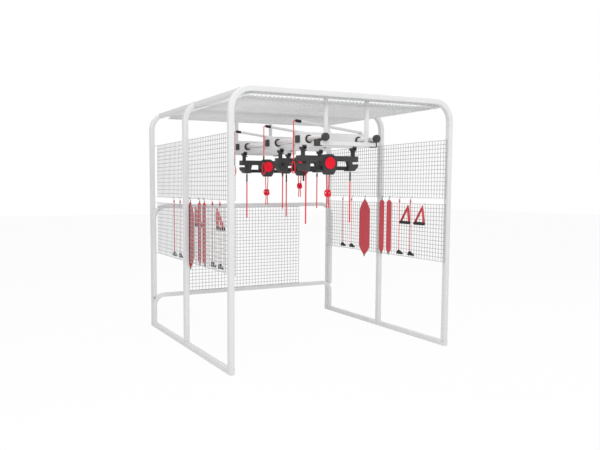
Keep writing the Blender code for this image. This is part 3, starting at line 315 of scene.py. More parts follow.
def turned(profile, centre, axis=(0, 0, 1), sides=32):
    """A profile of radius and distance turned round an axis through centre."""
    profile = np.asarray(profile, float)
    axis = unit(axis)
    first = unit(np.cross((0, 0, 1) if abs(axis[2]) < 0.9 else (1, 0, 0), axis))
    spokes = circle(1.0, sides) @ np.stack([first, np.cross(axis, first)])
    return skin(centre + profile[:, None, 1:] * axis + profile[:, None, :1] * spokes)


def rounded_ends(radius, length, edge, steps=4):
    """The profile of a plain cylinder whose two edges are quarter circles."""
    turn = np.linspace(0, np.pi / 2, steps)
    drawn = columns(radius - edge + edge * np.sin(turn), edge - edge * np.cos(turn))
    other = drawn[::-1].copy()
    other[:, 1] = length - other[:, 1]
    return np.concatenate([drawn, other])


def moulded(name, dark, light, grain):
    """Moulded plastic, rubber or dull metal: random texture of one grain size, faint uneven colour."""
    material, tree, shader = principled(name, light, 0.5, specular=0.3)
    coat(tree, shader, noise(tree, 14.0, 3.0), dark, light, (0.45, 0.6),
         noise(tree, 1.0 / grain, 2.0), 0.35, 0.0002)
    return material, "charcoal_plastic"


CHARCOAL = moulded("charcoal_plastic_grain", (0.032, 0.0322, 0.033), (0.06, 0.0603, 0.0615), 0.0012)
BLACK = moulded("black_rubber", (0.012, 0.012, 0.013), (0.024, 0.024, 0.026), 0.0009)
for place, spec in UNITS.items():
    y = spec["y"]
    body = f"{place}_cord"
    node = f"{place}_pull_cord"
    profile = rounded_ends(0.0078, SLEEVE_TOP - LOOP_TOP, 0.0015)
    clasp_low = LOOP_TOP
    if place == "front":
        profile = rounded_ends(0.0074, 0.01, 0.002)
        clasp_low = LOOP_TOP - 0.004
    clasp = turned(profile, (PULL_X, y, clasp_low), sides=20)
    clasp = piece(f"{place}_pull_clasp", [clasp], BLACK, node, body)
    down = np.linspace((PULL_X, y, PULL_TOP), (PULL_X, y, LOOP_TOP + 0.004), 14)
    angle = np.linspace(0, 2 * np.pi, 33)
    swing = LOOP_SWING * np.sin(angle) * (0.6 + 0.4 * np.sin(angle / 2))
    drop = (LOOP_TOP - LOOP_LOW) / 2 * (1 - np.cos(angle))
    bend = columns(PULL_X - swing, y + 0.0005 * np.sin(angle / 2), LOOP_TOP - drop)[1:]
    route = through(np.concatenate([down, bend]), 90)
    if place == "front":
        back = np.linspace((PULL_X + 0.0058, y + 0.004, LOOP_TOP - 0.004),
                           (PULL_X + 0.0052, y + 0.004, SLEEVE_TOP), 6)
        route = through(np.concatenate([down, bend[:-2], back]), 100)
    cord = tube(*domed(route, PULL_RADIUS), sides=10)
    line = piece(f"{place}_pull_line", [cord], CORD, node, body)


# Thin cords. Eight cords with a moulded black end piece hang on the grilles, four on each side.
# Each has a small red eye on its steel hook and a dark ferrule crimped under the eye.
THIN_CORDS = {"left": (0.466, 0.284, -0.558, -0.727), "right": (0.664, 0.48, -0.393, -0.57)}
THIN_X = 1.1147
THIN_RADIUS = 0.0034
EYE_TOP = 1.436
FERRULE_TOP = 1.42
FERRULE_LOW = 1.408
THIN_LOW = 0.895
SHOE_THICK = 0.016
UPPER_WIRE = 1.459
GRILLE_X = 1.124
HOOK_RADIUS = 0.0022
HOOK_BEND = 0.0055

# Planes to draw in: the two directions that an outline's first and second number follow.
XZ = np.array([(1.0, 0.0, 0.0), (0.0, 0.0, 1.0)])
YZ = np.array([(0.0, 1.0, 0.0), (0.0, 0.0, 1.0)])
XY = np.array([(1.0, 0.0, 0.0), (0.0, 1.0, 0.0)])


def soften(outline, reach, steps=5):
    """Each corner of an outline becomes a quadratic curve, from reach before it to reach after it."""
    outline = np.asarray(outline, float)
    reach = np.broadcast_to(reach, len(outline))[:, None]
    back = np.roll(outline, 1, axis=0) - outline
    ahead = np.roll(outline, -1, axis=0) - outline
    near = outline + unit(back) * np.minimum(reach, 0.49 * np.linalg.norm(back, axis=1, keepdims=True))
    far = outline + unit(ahead) * np.minimum(reach, 0.49 * np.linalg.norm(ahead, axis=1, keepdims=True))
    t = np.linspace(0, 1, steps)[None, :, None]
    curve = (1 - t) ** 2 * near[:, None] + 2 * t * (1 - t) * outline[:, None] + t ** 2 * far[:, None]
    return curve.reshape(-1, 2)


def slab(outline, low, high, edge, plane, steps=4):
    """A counter-clockwise outline made thick between two depths square to its plane. Near each face
    the outline is drawn in by edge times one less the sine, at edge times one less the cosine."""
    ahead = unit(np.roll(outline, -1, axis=0) - outline)
    inward = columns(-ahead[:, 1], ahead[:, 0])
    before = np.roll(inward, 1, axis=0)
    mitre = (inward + before) / (1 + np.sum(inward * before, axis=1, keepdims=True))
    turn = np.linspace(0, np.pi / 2, steps)
    drawn = edge * (1 - np.sin(turn))
    depth = edge * (1 - np.cos(turn))
    drawn = np.concatenate([drawn, drawn[::-1]])
    depth = np.concatenate([low + depth, high - depth[::-1]])
    flat = outline[None] + drawn[:, None, None] * mitre[None]
    return skin(flat @ plane + depth[:, None, None] * np.cross(plane[0], plane[1]))


def block(low, high, corner, edge, plane=XY):
    """A box with rounded corners: a softened rectangle in a plane, made thick with rounded edges."""
    normal = np.cross(plane[0], plane[1])
    a, b = np.sort([plane @ low, plane @ high], axis=0).T
    depth = np.sort([normal @ low, normal @ high])
    outline = soften([(a[0], b[0]), (a[1], b[0]), (a[1], b[1]), (a[0], b[1])], corner)
    return slab(outline, depth[0], depth[1], edge, plane)


def hook(side, y, wire, foot):
    """A steel hook over a grille's wire: up the room side, over the wire in a half circle, and down
    the far side. The foot turns up in a small bend that carries the eye below it."""
    turn = np.linspace(0, np.pi, 9)
    over = columns(GRILLE_X - HOOK_BEND * np.cos(turn), wire + 0.0025 + HOOK_BEND * np.sin(turn))
    curl = np.linspace(1.75 * np.pi, np.pi, 6)
    lower = columns(1.1115 - 0.007 * np.cos(curl), foot + 0.007 + 0.007 * np.sin(curl))
    route = np.concatenate([lower, np.linspace((1.1185, foot + 0.012), (1.1185, wire - 0.004), 4), over,
                            np.linspace((1.1295, wire - 0.002), (1.1295, wire - 0.012), 3)])
    return tube(*domed(route * (side, 1) @ XZ + (0, y, 0), HOOK_RADIUS), sides=8)


def eye(centre, width, height, radius, plane=YZ):
    """A closed ring: a wire carried round a circle stretched to a width and a height in a plane."""
    path = centre + (circle(1.0, 28) * (width / 2, height / 2)) @ plane
    return tube(path, radius, np.cross(plane[0], plane[1]), sides=8, loop=True)


ZINC = moulded("zinc_plated_steel", (0.6, 0.6, 0.61), (0.72, 0.72, 0.73), 0.004)
DARK_STEEL = moulded("dark_hook_steel", (0.035, 0.035, 0.037), (0.07, 0.07, 0.073), 0.004)
for side, sign in SIDES:
    for number, y in enumerate(THIN_CORDS[side], 1):
        name = f"{side}_thin_cord_{number}"
        x = sign * THIN_X
        profile = rounded_ends(0.0075, FERRULE_TOP - FERRULE_LOW, 0.0015)
        crimp = turned(profile, (x, y, FERRULE_LOW), sides=20)
        ferrule = piece(name + "_ferrule", [crimp], CHARCOAL, name)
        hanger = piece(name + "_hook", [hook(sign, y, UPPER_WIRE, EYE_TOP - 0.006)], ZINC, name)
        loop = eye((x, y, (EYE_TOP + FERRULE_TOP) / 2), 0.014, EYE_TOP - FERRULE_TOP + 0.004, 0.0032)
        ring = piece(name + "_eye", [loop], CORD, name)
        shoe = soften([(-0.068, -0.042), (0.03, -0.042), (0.03, -0.025), (0.009, 0.003), (-0.009, 0.003),
                       (-0.068, -0.031)], 0.008) + (y, THIN_LOW)
        shoe = slab(shoe, x - SHOE_THICK / 2, x + SHOE_THICK / 2, 0.004, YZ)
        end_piece = piece(name + "_end_piece", [shoe], BLACK, name)
        route = np.linspace((x, y, FERRULE_LOW + 0.004), (x, y, THIN_LOW - 0.006), 24)
        cord = tube(*domed(route, THIN_RADIUS), sides=10)
        line = piece(name + "_line", [cord], CORD, name)


# Tube frame. Three hoops of 50 mm square steel tube, bent at the top corners, welded on two floor
# rails and joined by four top rails. Two arches of smaller tube stand in front of the rear hoop.
TUBE = 0.05
POST_X = 1.16
HOOP_Y = 1.055
CROWN_Z = 2.375
HOOP_BEND = 0.185
FOOT_Z = 0.0503
RAIL_END = 1.08
TOP_RAIL_X = 1.055
TOP_RAIL_Z = 2.355
TOP_RAIL_HALF = 0.5022
ARCH_X = 1.1625
ARCH_Y = 1.0097
ARCHES = (("lower_rear_arch", FOOT_Z, 0.355, 0.1125), ("upper_rear_arch", 0.3434, 1.3525, 0.1425))


def painted(name, slot, dark, light, rough):
    """Powder coat: a fine dimpled skin, and colour and gloss that drift a little over the surface."""
    material, tree, shader = principled(name, light, rough)
    coat(tree, shader, noise(tree, 5.0, 4.0), dark, light, (rough - 0.06, rough + 0.06),
         noise(tree, 700.0, 1.0), 0.15, 0.0002)
    return material, slot


def rounded(width, height, corner, steps=5):
    """The outline of a rectangle with round corners, about its middle."""
    w = width / 2
    h = height / 2
    return soften([(-w, -h), (w, -h), (w, h), (-w, h)], corner, steps)


def arch(half_width, foot, crown, bend, y):
    """Up the right leg, round a quarter circle, across, round another and down the left leg."""
    turn = np.linspace(0, np.pi / 2, 19)
    right = columns(half_width - bend * (1 - np.cos(turn)), crown - bend * (1 - np.sin(turn)))
    right = np.concatenate([[(half_width, foot), (half_width, (foot + crown - bend) / 2)], right])
    return np.concatenate([right, right[::-1] * (-1, 1)]) @ XZ + (0, y, 0)


def weld(centre, width, height, plane):
    """A bead round the foot of a tube: a small circle carried round the tube's outline."""
    outline = rounded(width + 0.001, height + 0.001, 0.01) @ plane + centre
    return tube(outline, 0.0024, np.cross(plane[0], plane[1]), sides=6, loop=True)


WHITE = painted("white_powder_coat", "white_paint", (0.73, 0.733, 0.736), (0.79, 0.793, 0.796), 0.38)
SQUARE = rounded(TUBE, TUBE, 0.01)
for name, y in (("front_hoop", -HOOP_Y), ("middle_hoop", 0.0), ("rear_hoop", HOOP_Y)):
    hoop = sweep(arch(POST_X, FOOT_Z, CROWN_Z, HOOP_BEND, y), SQUARE, (0, 1, 0))
    feet = [weld((sign * POST_X, y, FOOT_Z), TUBE, TUBE, XY) for side, sign in SIDES]
    piece(name + "_tube", [hoop] + feet, WHITE, name)
for side, sign in SIDES:
    rail = block((sign * POST_X - TUBE / 2, -RAIL_END, 0.0), (sign * POST_X + TUBE / 2, RAIL_END, TUBE),
                 0.01, 0.004, XZ)
    piece(side + "_floor_rail_tube", [rail], WHITE, side + "_floor_rail")
    for end, y in (("front", -HOOP_Y / 2), ("rear", HOOP_Y / 2)):
        ends = [np.array([sign * TOP_RAIL_X, y, TOP_RAIL_Z]) + (0, reach, 0)
                for reach in (-TOP_RAIL_HALF, TOP_RAIL_HALF)]
        shells = [sweep(np.linspace(ends[0], ends[1], 4), SQUARE, (1, 0, 0))]
        shells += [weld(point, TUBE, TUBE, XZ) for point in ends]
        piece(f"{side}_{end}_top_rail_tube", shells, WHITE, f"{side}_{end}_top_rail")
ARCH = rounded(0.04, 0.045, 0.009)
for name, foot, crown, bend in ARCHES:
    tubing = sweep(arch(ARCH_X, foot, crown, bend, ARCH_Y), ARCH, (0, 1, 0))
    feet = [weld((sign * ARCH_X, ARCH_Y, foot), 0.045, 0.04, XY) for side, sign in SIDES]
    piece(name + "_tube", [tubing] + feet, WHITE, name)


# Grilles. Welded wire mesh with 40 mm cells, powder coated: two panels on each side held to the
# posts by flat tabs, one between the arches, and a ceiling panel whose edge is bent up to the hoops.
WIRE = 0.0028
CELL = 0.04
LAP = 0.0007
PANEL_X = 1.125
PANEL_HIGH = 0.564
PANEL_ENDS = (-1.067, 0.977)


def repeat(shell, moves):
    """Copies of a shell, one moved by each of the given steps."""
    points, groups, corners = shell
    copies = points[None] + moves[:, None]
    shift = (np.arange(len(moves)) * len(points))[:, None, None]
    spread = [(group[None] + shift).reshape(-1, group.shape[1]) for group in groups]
    counts = np.cumsum([group.size for group in groups])[:-1]
    uv = [np.tile(part, (len(moves), 1)) for part in np.split(corners, counts)]
    return copies.reshape(-1, 3), spread, np.concatenate(uv)


def steps(axis, distances):
    """One step along an axis for each distance."""
    return np.outer(distances, np.eye(3)[axis])


def rods(start, end, moves, across=(0, 1, 0)):
    """The same straight wire, once for each step."""
    return repeat(tube(np.linspace(start, end, 2), WIRE, across, sides=8), moves)


# Painted shade: the side and rear grille wires are coloured darker than their pale grey coat, to stand for
# the shade on the thin wires.
SHADED_MESH_PAINT = painted("wire_coat_darkened_as_shade", "wire_paint", (0.46, 0.465, 0.47), (0.54, 0.545, 0.55), 0.45)
for side, sign in SIDES:
    for level, low in (("lower", 0.833), ("upper", 1.457)):
        upright_x = sign * PANEL_X - sign * LAP
        level_x = sign * PANEL_X + sign * LAP
        uprights = steps(1, -1.065 + CELL * np.arange(52))
        levels = steps(2, low + 0.002 + CELL * np.arange(15))
        shells = [rods((upright_x, 0, low), (upright_x, 0, low + PANEL_HIGH), uprights),
                  rods((level_x, PANEL_ENDS[0], 0), (level_x, PANEL_ENDS[1], 0), levels, (1, 0, 0))]
        for z in (low + 0.002, low + 0.562):
            for start, end in ((-1.065, -1.045), (-0.01, 0.01), (0.974, 1.055)):
                shells.append(block((sign * 1.124, start, z - 0.0015), (sign * 1.1347, end, z + 0.0015),
                                    0.002, 0.0006))
        node = f"{side}_{level}_grille"
        piece(node + "_mesh", shells, SHADED_MESH_PAINT, node)
rear_x = -0.746 + 0.04028 * np.arange(37)
rear_z = 0.3805 + 0.03938 * np.arange(25)
shells = [rods((0, ARCH_Y - LAP, 0.378), (0, ARCH_Y - LAP, 1.3295), steps(0, rear_x)),
          rods((-0.748, ARCH_Y + LAP, 0), (0.706, ARCH_Y + LAP, 0), steps(2, rear_z))]
piece("rear_grille_mesh", shells, SHADED_MESH_PAINT, "rear_grille")


def tray_wire(reach, low, top):
    """A wire that runs across the tray and turns up at both ends, as offsets along and up."""
    right = [(reach - 0.012, low), (reach - 0.003, low + 0.003), (reach, low + 0.012), (reach, top)]
    return through([(-x, z) for x, z in right[::-1]] + [(0, low)] + right, 44)


# Painted light: the ceiling grille takes the same wire coat made lighter, to offset the shade on its
# underside that faces the camera.
LIT_TRAY_PAINT = painted("tray_coat_lightened_as_light", "wire_paint", (0.64, 0.645, 0.65), (0.72, 0.725, 0.73), 0.45)
TRAY_LOW = 2.314
TRAY_TOP = 2.3475
TRAY_Y = -0.058
TRAY_HALF_X = 0.972
TRAY_HALF_Y = 1.000
across_wire = tray_wire(TRAY_HALF_X, TRAY_LOW, TRAY_TOP) @ XZ
along_wire = tray_wire(TRAY_HALF_Y, TRAY_LOW + 0.0014, TRAY_TOP) @ YZ + (0, TRAY_Y, 0)
tray_y = TRAY_Y - TRAY_HALF_Y + CELL * np.arange(51)
tray_x = -TRAY_HALF_X + 0.03967 * np.arange(50)
rim = rounded(2 * TRAY_HALF_X, 2 * TRAY_HALF_Y, 0.03, 7) @ XY + (0, TRAY_Y, TRAY_TOP)
shells = [repeat(tube(across_wire, WIRE, sides=6), steps(1, tray_y)),
          repeat(tube(along_wire, WIRE, (1, 0, 0), sides=6), steps(0, tray_x)),
          tube(rim, WIRE + 0.0003, (0, 0, 1), sides=8, loop=True)]
piece("ceiling_grille_mesh", shells, LIT_TRAY_PAINT, "ceiling_grille")


# Shafts. Two polished steel shafts of 50 mm run from front to rear and carry the cross beams.
# Each has a domed black knob pushed on its front end and a plug in the rear one.
SHAFT_Z = 2.006
SHAFT_RADIUS = 0.025
SHAFT_FRONT = -1.035
SHAFT_LONG = 2.015
SHAFTS = {"left": -0.245, "right": 0.305}


def polished(name, colour, along):
    """Ground and polished steel: fine streaks that run round the shaft, so across its length."""
    material, tree, shader = principled(name, colour, 0.25, 1.0)
    where = add(tree, "ShaderNodeTexCoord")["Object"]
    turned_marks = add(tree, "ShaderNodeMapping", {"Vector": where, "Scale": along})
    marks = add(tree, "ShaderNodeTexNoise", {"Vector": turned_marks[0], "Scale": 1.0, "Detail": 3.0})
    coat(tree, shader, marks[0], [0.96 * part for part in colour], colour, (0.38, 0.5),
         marks[0], 0.08, 0.0001)
    return material, "polished_steel"


STEEL = polished("polished_shaft_steel", (0.9, 0.885, 0.87), (30.0, 500.0, 30.0))
for side, x in SHAFTS.items():
    node = side + "_shaft"
    bar = turned(rounded_ends(SHAFT_RADIUS, SHAFT_LONG, 0.0015), (x, SHAFT_FRONT, SHAFT_Z), (0, 1, 0), 48)
    piece(side + "_shaft_bar", [bar], STEEL, node)
    dome = [(0.006, -1.067), (0.02, -1.0667), (0.028, -1.0657), (0.033, -1.063), (0.0353, -1.059),
            (0.036, -1.055), (0.036, -1.034), (0.035, -1.0312), (0.033, -1.03), (0.0255, -1.03)]
    plug = [(0.02, 0.975), (0.025, 0.9795), (0.025, 0.982), (0.023, 0.9835), (0.004, 0.984)]
    knob = [turned(dome, (x, 0, SHAFT_Z), (0, 1, 0), 48), turned(plug, (x, 0, SHAFT_Z), (0, 1, 0), 32)]
    piece(side + "_shaft_knob", knob, CHARCOAL, node)


# Hanger frames. Front and rear, a joist lies on the ceiling grille between the top rails. Two round
# tubes hang from it and carry a flat bar with a round black saddle at each end, which holds a shaft.
HANGERS = {"front": -0.965, "rear": 0.915}
HANGER_X = (-0.191, 0.251)
BAR_ENDS = (-0.269, 0.329)
SEAT_RADIUS = 0.0253
for place, y in HANGERS.items():
    node = place + "_hanger_frame"
    shells = [block((-1.0297, y - 0.025, 2.35), (1.0297, y + 0.025, 2.38), 0.004, 0.001, YZ),
              block((BAR_ENDS[0], y - 0.04, 1.937), (BAR_ENDS[1], y + 0.04, 1.973), 0.004, 0.001, YZ)]
    for x in HANGER_X:
        bead = [(0.0195, 1.9728), (0.0225, 1.973), (0.0212, 1.9753), (0.0198, 1.9761)]
        shells += [turned(rounded_ends(0.02, 0.379, 0.0005), (x, y, 1.971)), turned(bead, (x, y, 0))]
    piece(place + "_hanger_tubes", shells, WHITE, node)
    saddles = []
    for x, shaft_x in zip(BAR_ENDS, SHAFTS.values()):
        profile = [(0.034, 1.931), (0.0362, 1.932), (0.037, 1.934), (0.037, 1.987), (0.0362, 1.9884)]
        profile += [(radius, 1.989) for radius in (0.034, 0.03, 0.025, 0.02, 0.015, 0.01, 0.005, 0.001)]
        points, groups, corners = turned(profile, (x, y, 0), sides=96)
        beside = np.abs(points[:, 0] - shaft_x)
        seat = SHAFT_Z - np.sqrt(np.maximum(SEAT_RADIUS ** 2 - beside ** 2, 0.0))
        points[:, 2] = np.where(beside < SEAT_RADIUS, np.minimum(points[:, 2], seat), points[:, 2])
        saddles.append((points, groups, corners))
    piece(place + "_bar_saddles", saddles, CHARCOAL, node)


# Cross beams. Coated aluminium extrusions, 50 mm by 112 mm with an open C track underneath, that
# slide on the two shafts in flanged black bushes. A black stop block is screwed on the left end's front.
BEAM_LEFT = -0.385
BEAM_RIGHT = 0.367
BEAM_LOW = 1.955
BEAM_TOP = 2.067
TRACK_LOW = 1.935
BEAM_PAINT = painted("beam_coat", "beam_paint", (0.74, 0.742, 0.744), (0.8, 0.802, 0.804), 0.4)


def beam_outline():
    """The beam's section: a box, and below it a C track that is open downwards."""
    right = [(0.012, 1.939), (0.012, TRACK_LOW), (0.023, TRACK_LOW), (0.023, 1.953), (0.025, BEAM_LOW),
             (0.025, BEAM_TOP)]
    left = [(-y, z) for y, z in reversed(right)]
    channel = [(-0.02, 1.939), (-0.02, 1.954), (0.02, 1.954), (0.02, 1.939)]
    return np.array(right + left + channel)


PIN = (0.352, 2.084)
EAR = soften([(0.339, 2.066), (0.365, 2.066), (0.365, 2.097), (0.339, 2.097)], (0.001, 0.001, 0.012, 0.012))
BUSH = [(0.0255, 0.0), (0.0375, 0.0), (0.039, 0.0015), (0.039, 0.005), (0.0378, 0.0062), (0.03, 0.0062),
        (0.0285, 0.0085), (0.0254, 0.0085), (0.0254, -0.02)]
for place, spec in UNITS.items():
    y = spec["y"]
    node = place + "_beam"
    body = place + "_carriage"
    outline = soften(beam_outline(), 0.0012, 3) + (y, 0)
    beam = [slab(outline, BEAM_LEFT, BEAM_RIGHT, 0.0006, YZ)]
    for low, high in ((-0.019, -0.014), (0.014, 0.019)):
        beam.append(slab(EAR, -(y + high), -(y + low), 0.0008, XZ))
    piece(place + "_beam_extrusion", beam, BEAM_PAINT, node, body)
    black = []
    for x in SHAFTS.values():
        for turn in (-1, 1):
            black.append(turned(BUSH, (x, y + turn * 0.0245, SHAFT_Z), (0, turn, 0), 48))
    black.append(block((-0.39, y - 0.07, 1.966), (-0.363, y - 0.024, 2.032), 0.004, 0.0015, XZ))
    for x in (-0.18, 0.362):
        black.append(block((x - 0.01, y - 0.018, 1.9385), (x + 0.006, y + 0.018, 1.953), 0.002, 0.001, YZ))
    piece(place + "_beam_fittings", black, CHARCOAL, node, body)
    pin = [turned(rounded_ends(0.005, 0.042, 0.001), (PIN[0], y - 0.021, PIN[1]), (0, 1, 0), 20)]
    pin += [turned(rounded_ends(0.0075, 0.002, 0.0008), (PIN[0], y + low, PIN[1]), (0, 1, 0), 20)
            for low in (-0.0215, 0.0195)]
    piece(place + "_beam_pin", pin, STEEL, node, body)


# Release arms. A white tube of 26 mm, hinged in the clevis at the beam's right end, rises to the
# left. The pull cord comes out of the black rubber tip on its free end and bends down.
ARM_ANGLE = math.radians(6.7)
ARM_LONG = 0.7285
TIP_RADIUS = 0.014
for place, spec in UNITS.items():
    y = spec["y"]
    node = place + "_release_arm"
    body = place + "_arm"
    pivot = np.array([PIN[0], y, PIN[1]])
    along = np.array([-math.cos(ARM_ANGLE), 0.0, math.sin(ARM_ANGLE)])
    rod = [(0.0105, 0.006), (0.0128, 0.011), (0.013, 0.014), (0.013, 0.69), (0.0125, 0.692)]
    barrel = [(0.0052, -0.0132), (0.011, -0.0132), (0.012, -0.0122), (0.012, 0.0122), (0.011, 0.0132),
              (0.0052, 0.0132)]
    arm = [turned(rod, pivot, along), turned(barrel, pivot, (0, 1, 0))]
    piece(place + "_arm_tube", arm, (WHITE[0], "arm_paint"), node, body)
    tip = [(0.0132, 0.6725), (0.0138, 0.6735), (TIP_RADIUS, 0.676), (TIP_RADIUS, 0.7225), (0.0132, 0.726),
           (0.011, 0.728), (0.005, ARM_LONG)]
    ribs = columns(TIP_RADIUS + 0.0005 * np.cos(np.linspace(0, 12 * np.pi, 61)),
                   np.linspace(0.681, 0.713, 61))
    piece(place + "_arm_tip", [turned(tip, pivot, along), turned(ribs, pivot, along)], BLACK, node, body)
    end = pivot + along * ARM_LONG
    bend = through([end - along * 0.008, end + along * 0.006, (PULL_X, y, end[2] - 0.008),
                    (PULL_X, y, end[2] - 0.014), (PULL_X, y, end[2] - 0.0199)], 24)
    elbow = tube(bend, PULL_RADIUS, sides=12)
    piece(place + "_arm_elbow", [elbow], (CORD[0], "charcoal_plastic"), node, body)


# Suspension units. A charcoal moulding with a bar along its top, a recessed rail below and a slotted
# block at each end, and a round housing with a red cover in its middle. Two clamps with square heads
# hold it in the beam's track, and a rubber sleeve hangs on a short cord under each end.
UNIT_TOP = 1.857
UNIT_LOW = 1.718
LIP = -0.006
POCKET = 0.028
BACK = 0.04
HOUSING_HALF = 0.045
STEP_Z = 1.7258
STEP_X = 0.0703
COVER_Z = 1.79
SLEEVE_HIGH = 1.7052
LEVER_Z = 1.902
HEAD_LOW = 1.911
HEAD_DEEP = 0.031
HEAD_WIDE = 0.022
RED = moulded("red_cover_plastic", (0.92, 0.0, 0.022), (1.0, 0.0, 0.028), 0.0012)
GRAPHITE = moulded("graphite_plastic", (0.01, 0.01, 0.011), (0.022, 0.022, 0.024), 0.0012)


def plate(outline, low, high, edge, plane):
    """A slab whose faces are cut into triangles, for outlines with inner corners: the same rounded
    edge as a slab, and two flat faces tessellated in the outline's own plane."""
    points, groups, corners = slab(outline, low, high, edge, plane)
    sides = len(outline)
    count = len(points) // sides
    inner = (points[:sides] @ plane.T).tolist()
    triangles = np.array(mathutils.geometry.tessellate_polygon([[(*point, 0.0) for point in inner]]))
    a, b, c = (np.array(inner)[triangles[:, k]] for k in range(3))
    area = (b[:, 0] - a[:, 0]) * (c[:, 1] - a[:, 1]) - (b[:, 1] - a[:, 1]) * (c[:, 0] - a[:, 0])
    triangles = triangles[np.abs(area) > 1e-12]
    area = area[np.abs(area) > 1e-12]
    triangles = np.where((area > 0)[:, None], triangles, triangles[:, ::-1])
    faces = [triangles[:, ::-1], triangles + (count - 1) * sides]
    walls = corners[:4 * len(groups[0])]
    flats = np.concatenate([points[group.ravel()] @ plane.T for group in faces])
    return points, [groups[0]] + faces, np.concatenate([walls, flats])


def mirrored(right, x, reach, corner_steps):
    """An outline from its right half and that half's mirror image about x, with softened corners."""
    right = np.array(right)
    return soften(np.concatenate([right, right[::-1] * (-1, 1)]) + (x, 0), np.array(reach + reach[::-1]),
                  corner_steps)


def unit_outline(x, half, jamb):
    """The bar with its two end blocks, counter-clockwise: each block has an open slot in its outer
    side, a cut corner below it and a slanted inner side, moved jamb metres outwards."""
    inner = [(0.085, 1.759), (0.085, 1.809), (half - 0.1205 + jamb, 1.809), (half - 0.108 + jamb, 1.76),
             (half - 0.11, 1.757)]
    outer = [(half - 0.11, UNIT_LOW), (half - 0.04, UNIT_LOW), (half, UNIT_LOW + 0.04), (half, 1.785),
             (half - 0.062, 1.779), (half - 0.067, 1.805), (half, 1.805), (half, UNIT_TOP)]
    reach = [0.002, 0.005, 0.007, 0.003, 0.002, 0.004, 0.006, 0.006, 0.004, 0.007, 0.007, 0.004, 0.006]
    return mirrored(inner + outer, x, reach, 4)


def housing_outline(x):
    """The housing from its narrow foot up to the small dome over the bar, counter-clockwise."""
    right = [(0.042, 1.682), (0.07, 1.721), (0.075, 1.757), (0.075, 1.817), (0.056, 1.854), (0.049, 1.861),
             (0.032, 1.873)]
    return mirrored(right, x, [0.01, 0.02, 0.016, 0.016, 0.006, 0.006, 0.01], 5)


def clamp(x, y):
    """A round column that widens to a cone, a square head with a cheek on its front and back, and a
    small lever with a tapered boss on its right."""
    cone = [(0.0185, 1.856), (0.02, 1.8575), (0.02, 1.8905), (0.019, 1.8918), (0.0205, 1.893),
            (0.0235, 1.9125), (0.0235, 1.916)]
    boss = [(0.006, 0.014), (0.0058, 0.02), (0.0044, 0.03), (0.0034, 0.038), (0.002, 0.0425)]
    left = x - HEAD_WIDE
    right = x + HEAD_WIDE
    lever = np.linspace((x + 0.012, y, LEVER_Z), (x + 0.043, y, LEVER_Z), 8)
    return [turned(cone, (x, y, 0), sides=40),
            block((left, y - HEAD_DEEP, HEAD_LOW), (right, y + HEAD_DEEP, 1.9338), 0.006, 0.0012),
            block((left, y - HEAD_DEEP, 1.918), (right, y - 0.0242, 1.95), 0.004, 0.0012, XZ),
            block((left, y + 0.0242, 1.918), (right, y + HEAD_DEEP, 1.95), 0.004, 0.0012, XZ),
            tube(*domed(lever, 0.003), sides=12), turned(boss, (x, y, LEVER_Z), (1, 0, 0), 16)]


for place, spec in UNITS.items():
    y = spec["y"]
    x = spec["x"]
    half = spec["half"]
    face = y - HOUSING_HALF
    low = spec["sleeve_low"]
    node = place + "_suspension_unit"
    body = place + "_unit"
    housing = housing_outline(x)
    upper = np.array([point if point[1] > STEP_Z else (x + np.sign(point[0] - x) * STEP_X, STEP_Z)
                      for point in housing])
    upper = upper[np.linalg.norm(upper - np.roll(upper, 1, axis=0), axis=1) > 1e-5]
    shell = [plate(unit_outline(x, half, 0.0), -(y + LIP), -(y - BACK), 0.0015, XZ),
             plate(unit_outline(x, half, POCKET), -(y + BACK), -(y + LIP), 0.0015, XZ),
             slab(housing, -(y + 0.008), -face, 0.004, XZ),
             slab(upper, -(y + HOUSING_HALF), -(y + 0.006), 0.004, XZ)]
    piece(place + "_unit_shell", shell, CHARCOAL, node, body)
    reach = half - 0.108
    # Two thin dark discs on the housing's face stand for its two holes: their dark is painted shade.
    hole_shade_disc = [(0.002, 0.0), (0.0062, 0.0001), (0.0064, 0.0012), (0.003, 0.0013)]
    sleeve = [(0.0055, low), (0.0072, low + 0.0002), (0.008, low + 0.0016), (0.008, SLEEVE_HIGH),
              (0.0074, 1.7066), (0.005, 1.707)]
    dark = [block((x - reach, y - 0.025, 1.7255), (x + reach, y + 0.025, 1.759), 0.004, 0.001, YZ)]
    dark += [turned(hole_shade_disc, (x + sign * 0.0185, face, 1.699), (0, -1, 0), 20) for side, sign in SIDES]
    dark += [turned(sleeve, (sleeve_x, y, 0), sides=24) for sleeve_x in spec["sleeves"]]
    piece(place + "_unit_dark_parts", dark, GRAPHITE, node, body)
    necks = [tube(np.linspace((sleeve_x, y, 1.7055), (sleeve_x, y, UNIT_LOW + 0.002), 3),
                  spec["rope_radius"] - 0.001, sides=12) for sleeve_x in spec["sleeves"]]
    piece(place + "_unit_necks", necks, (ROPE[0], "charcoal_plastic"), node, body)
    clamps = clamp(spec["clamps"][0], y) + clamp(spec["clamps"][1], y)
    piece(place + "_unit_clamps", clamps, CHARCOAL, node, body)
    ring = [(0.0568, 0.0015), (0.0575, 0.0034), (0.06, 0.0034), (0.0615, 0.0022), (0.0615, 0.0)]
    piece(place + "_cover_rim", [turned(ring, (x, face, COVER_Z), (0, -1, 0), 64)], GRAPHITE, node, body)
    cover = [(0.0565, -0.002), (0.0565, 0.0016), (0.0558, 0.0026), (0.054, 0.0031), (0.04, 0.0037),
             (0.02, 0.0041), (0.003, 0.0042)]
    piece(place + "_red_cover", [turned(cover, (x, face, COVER_Z), (0, -1, 0), 64)], RED, node, body)


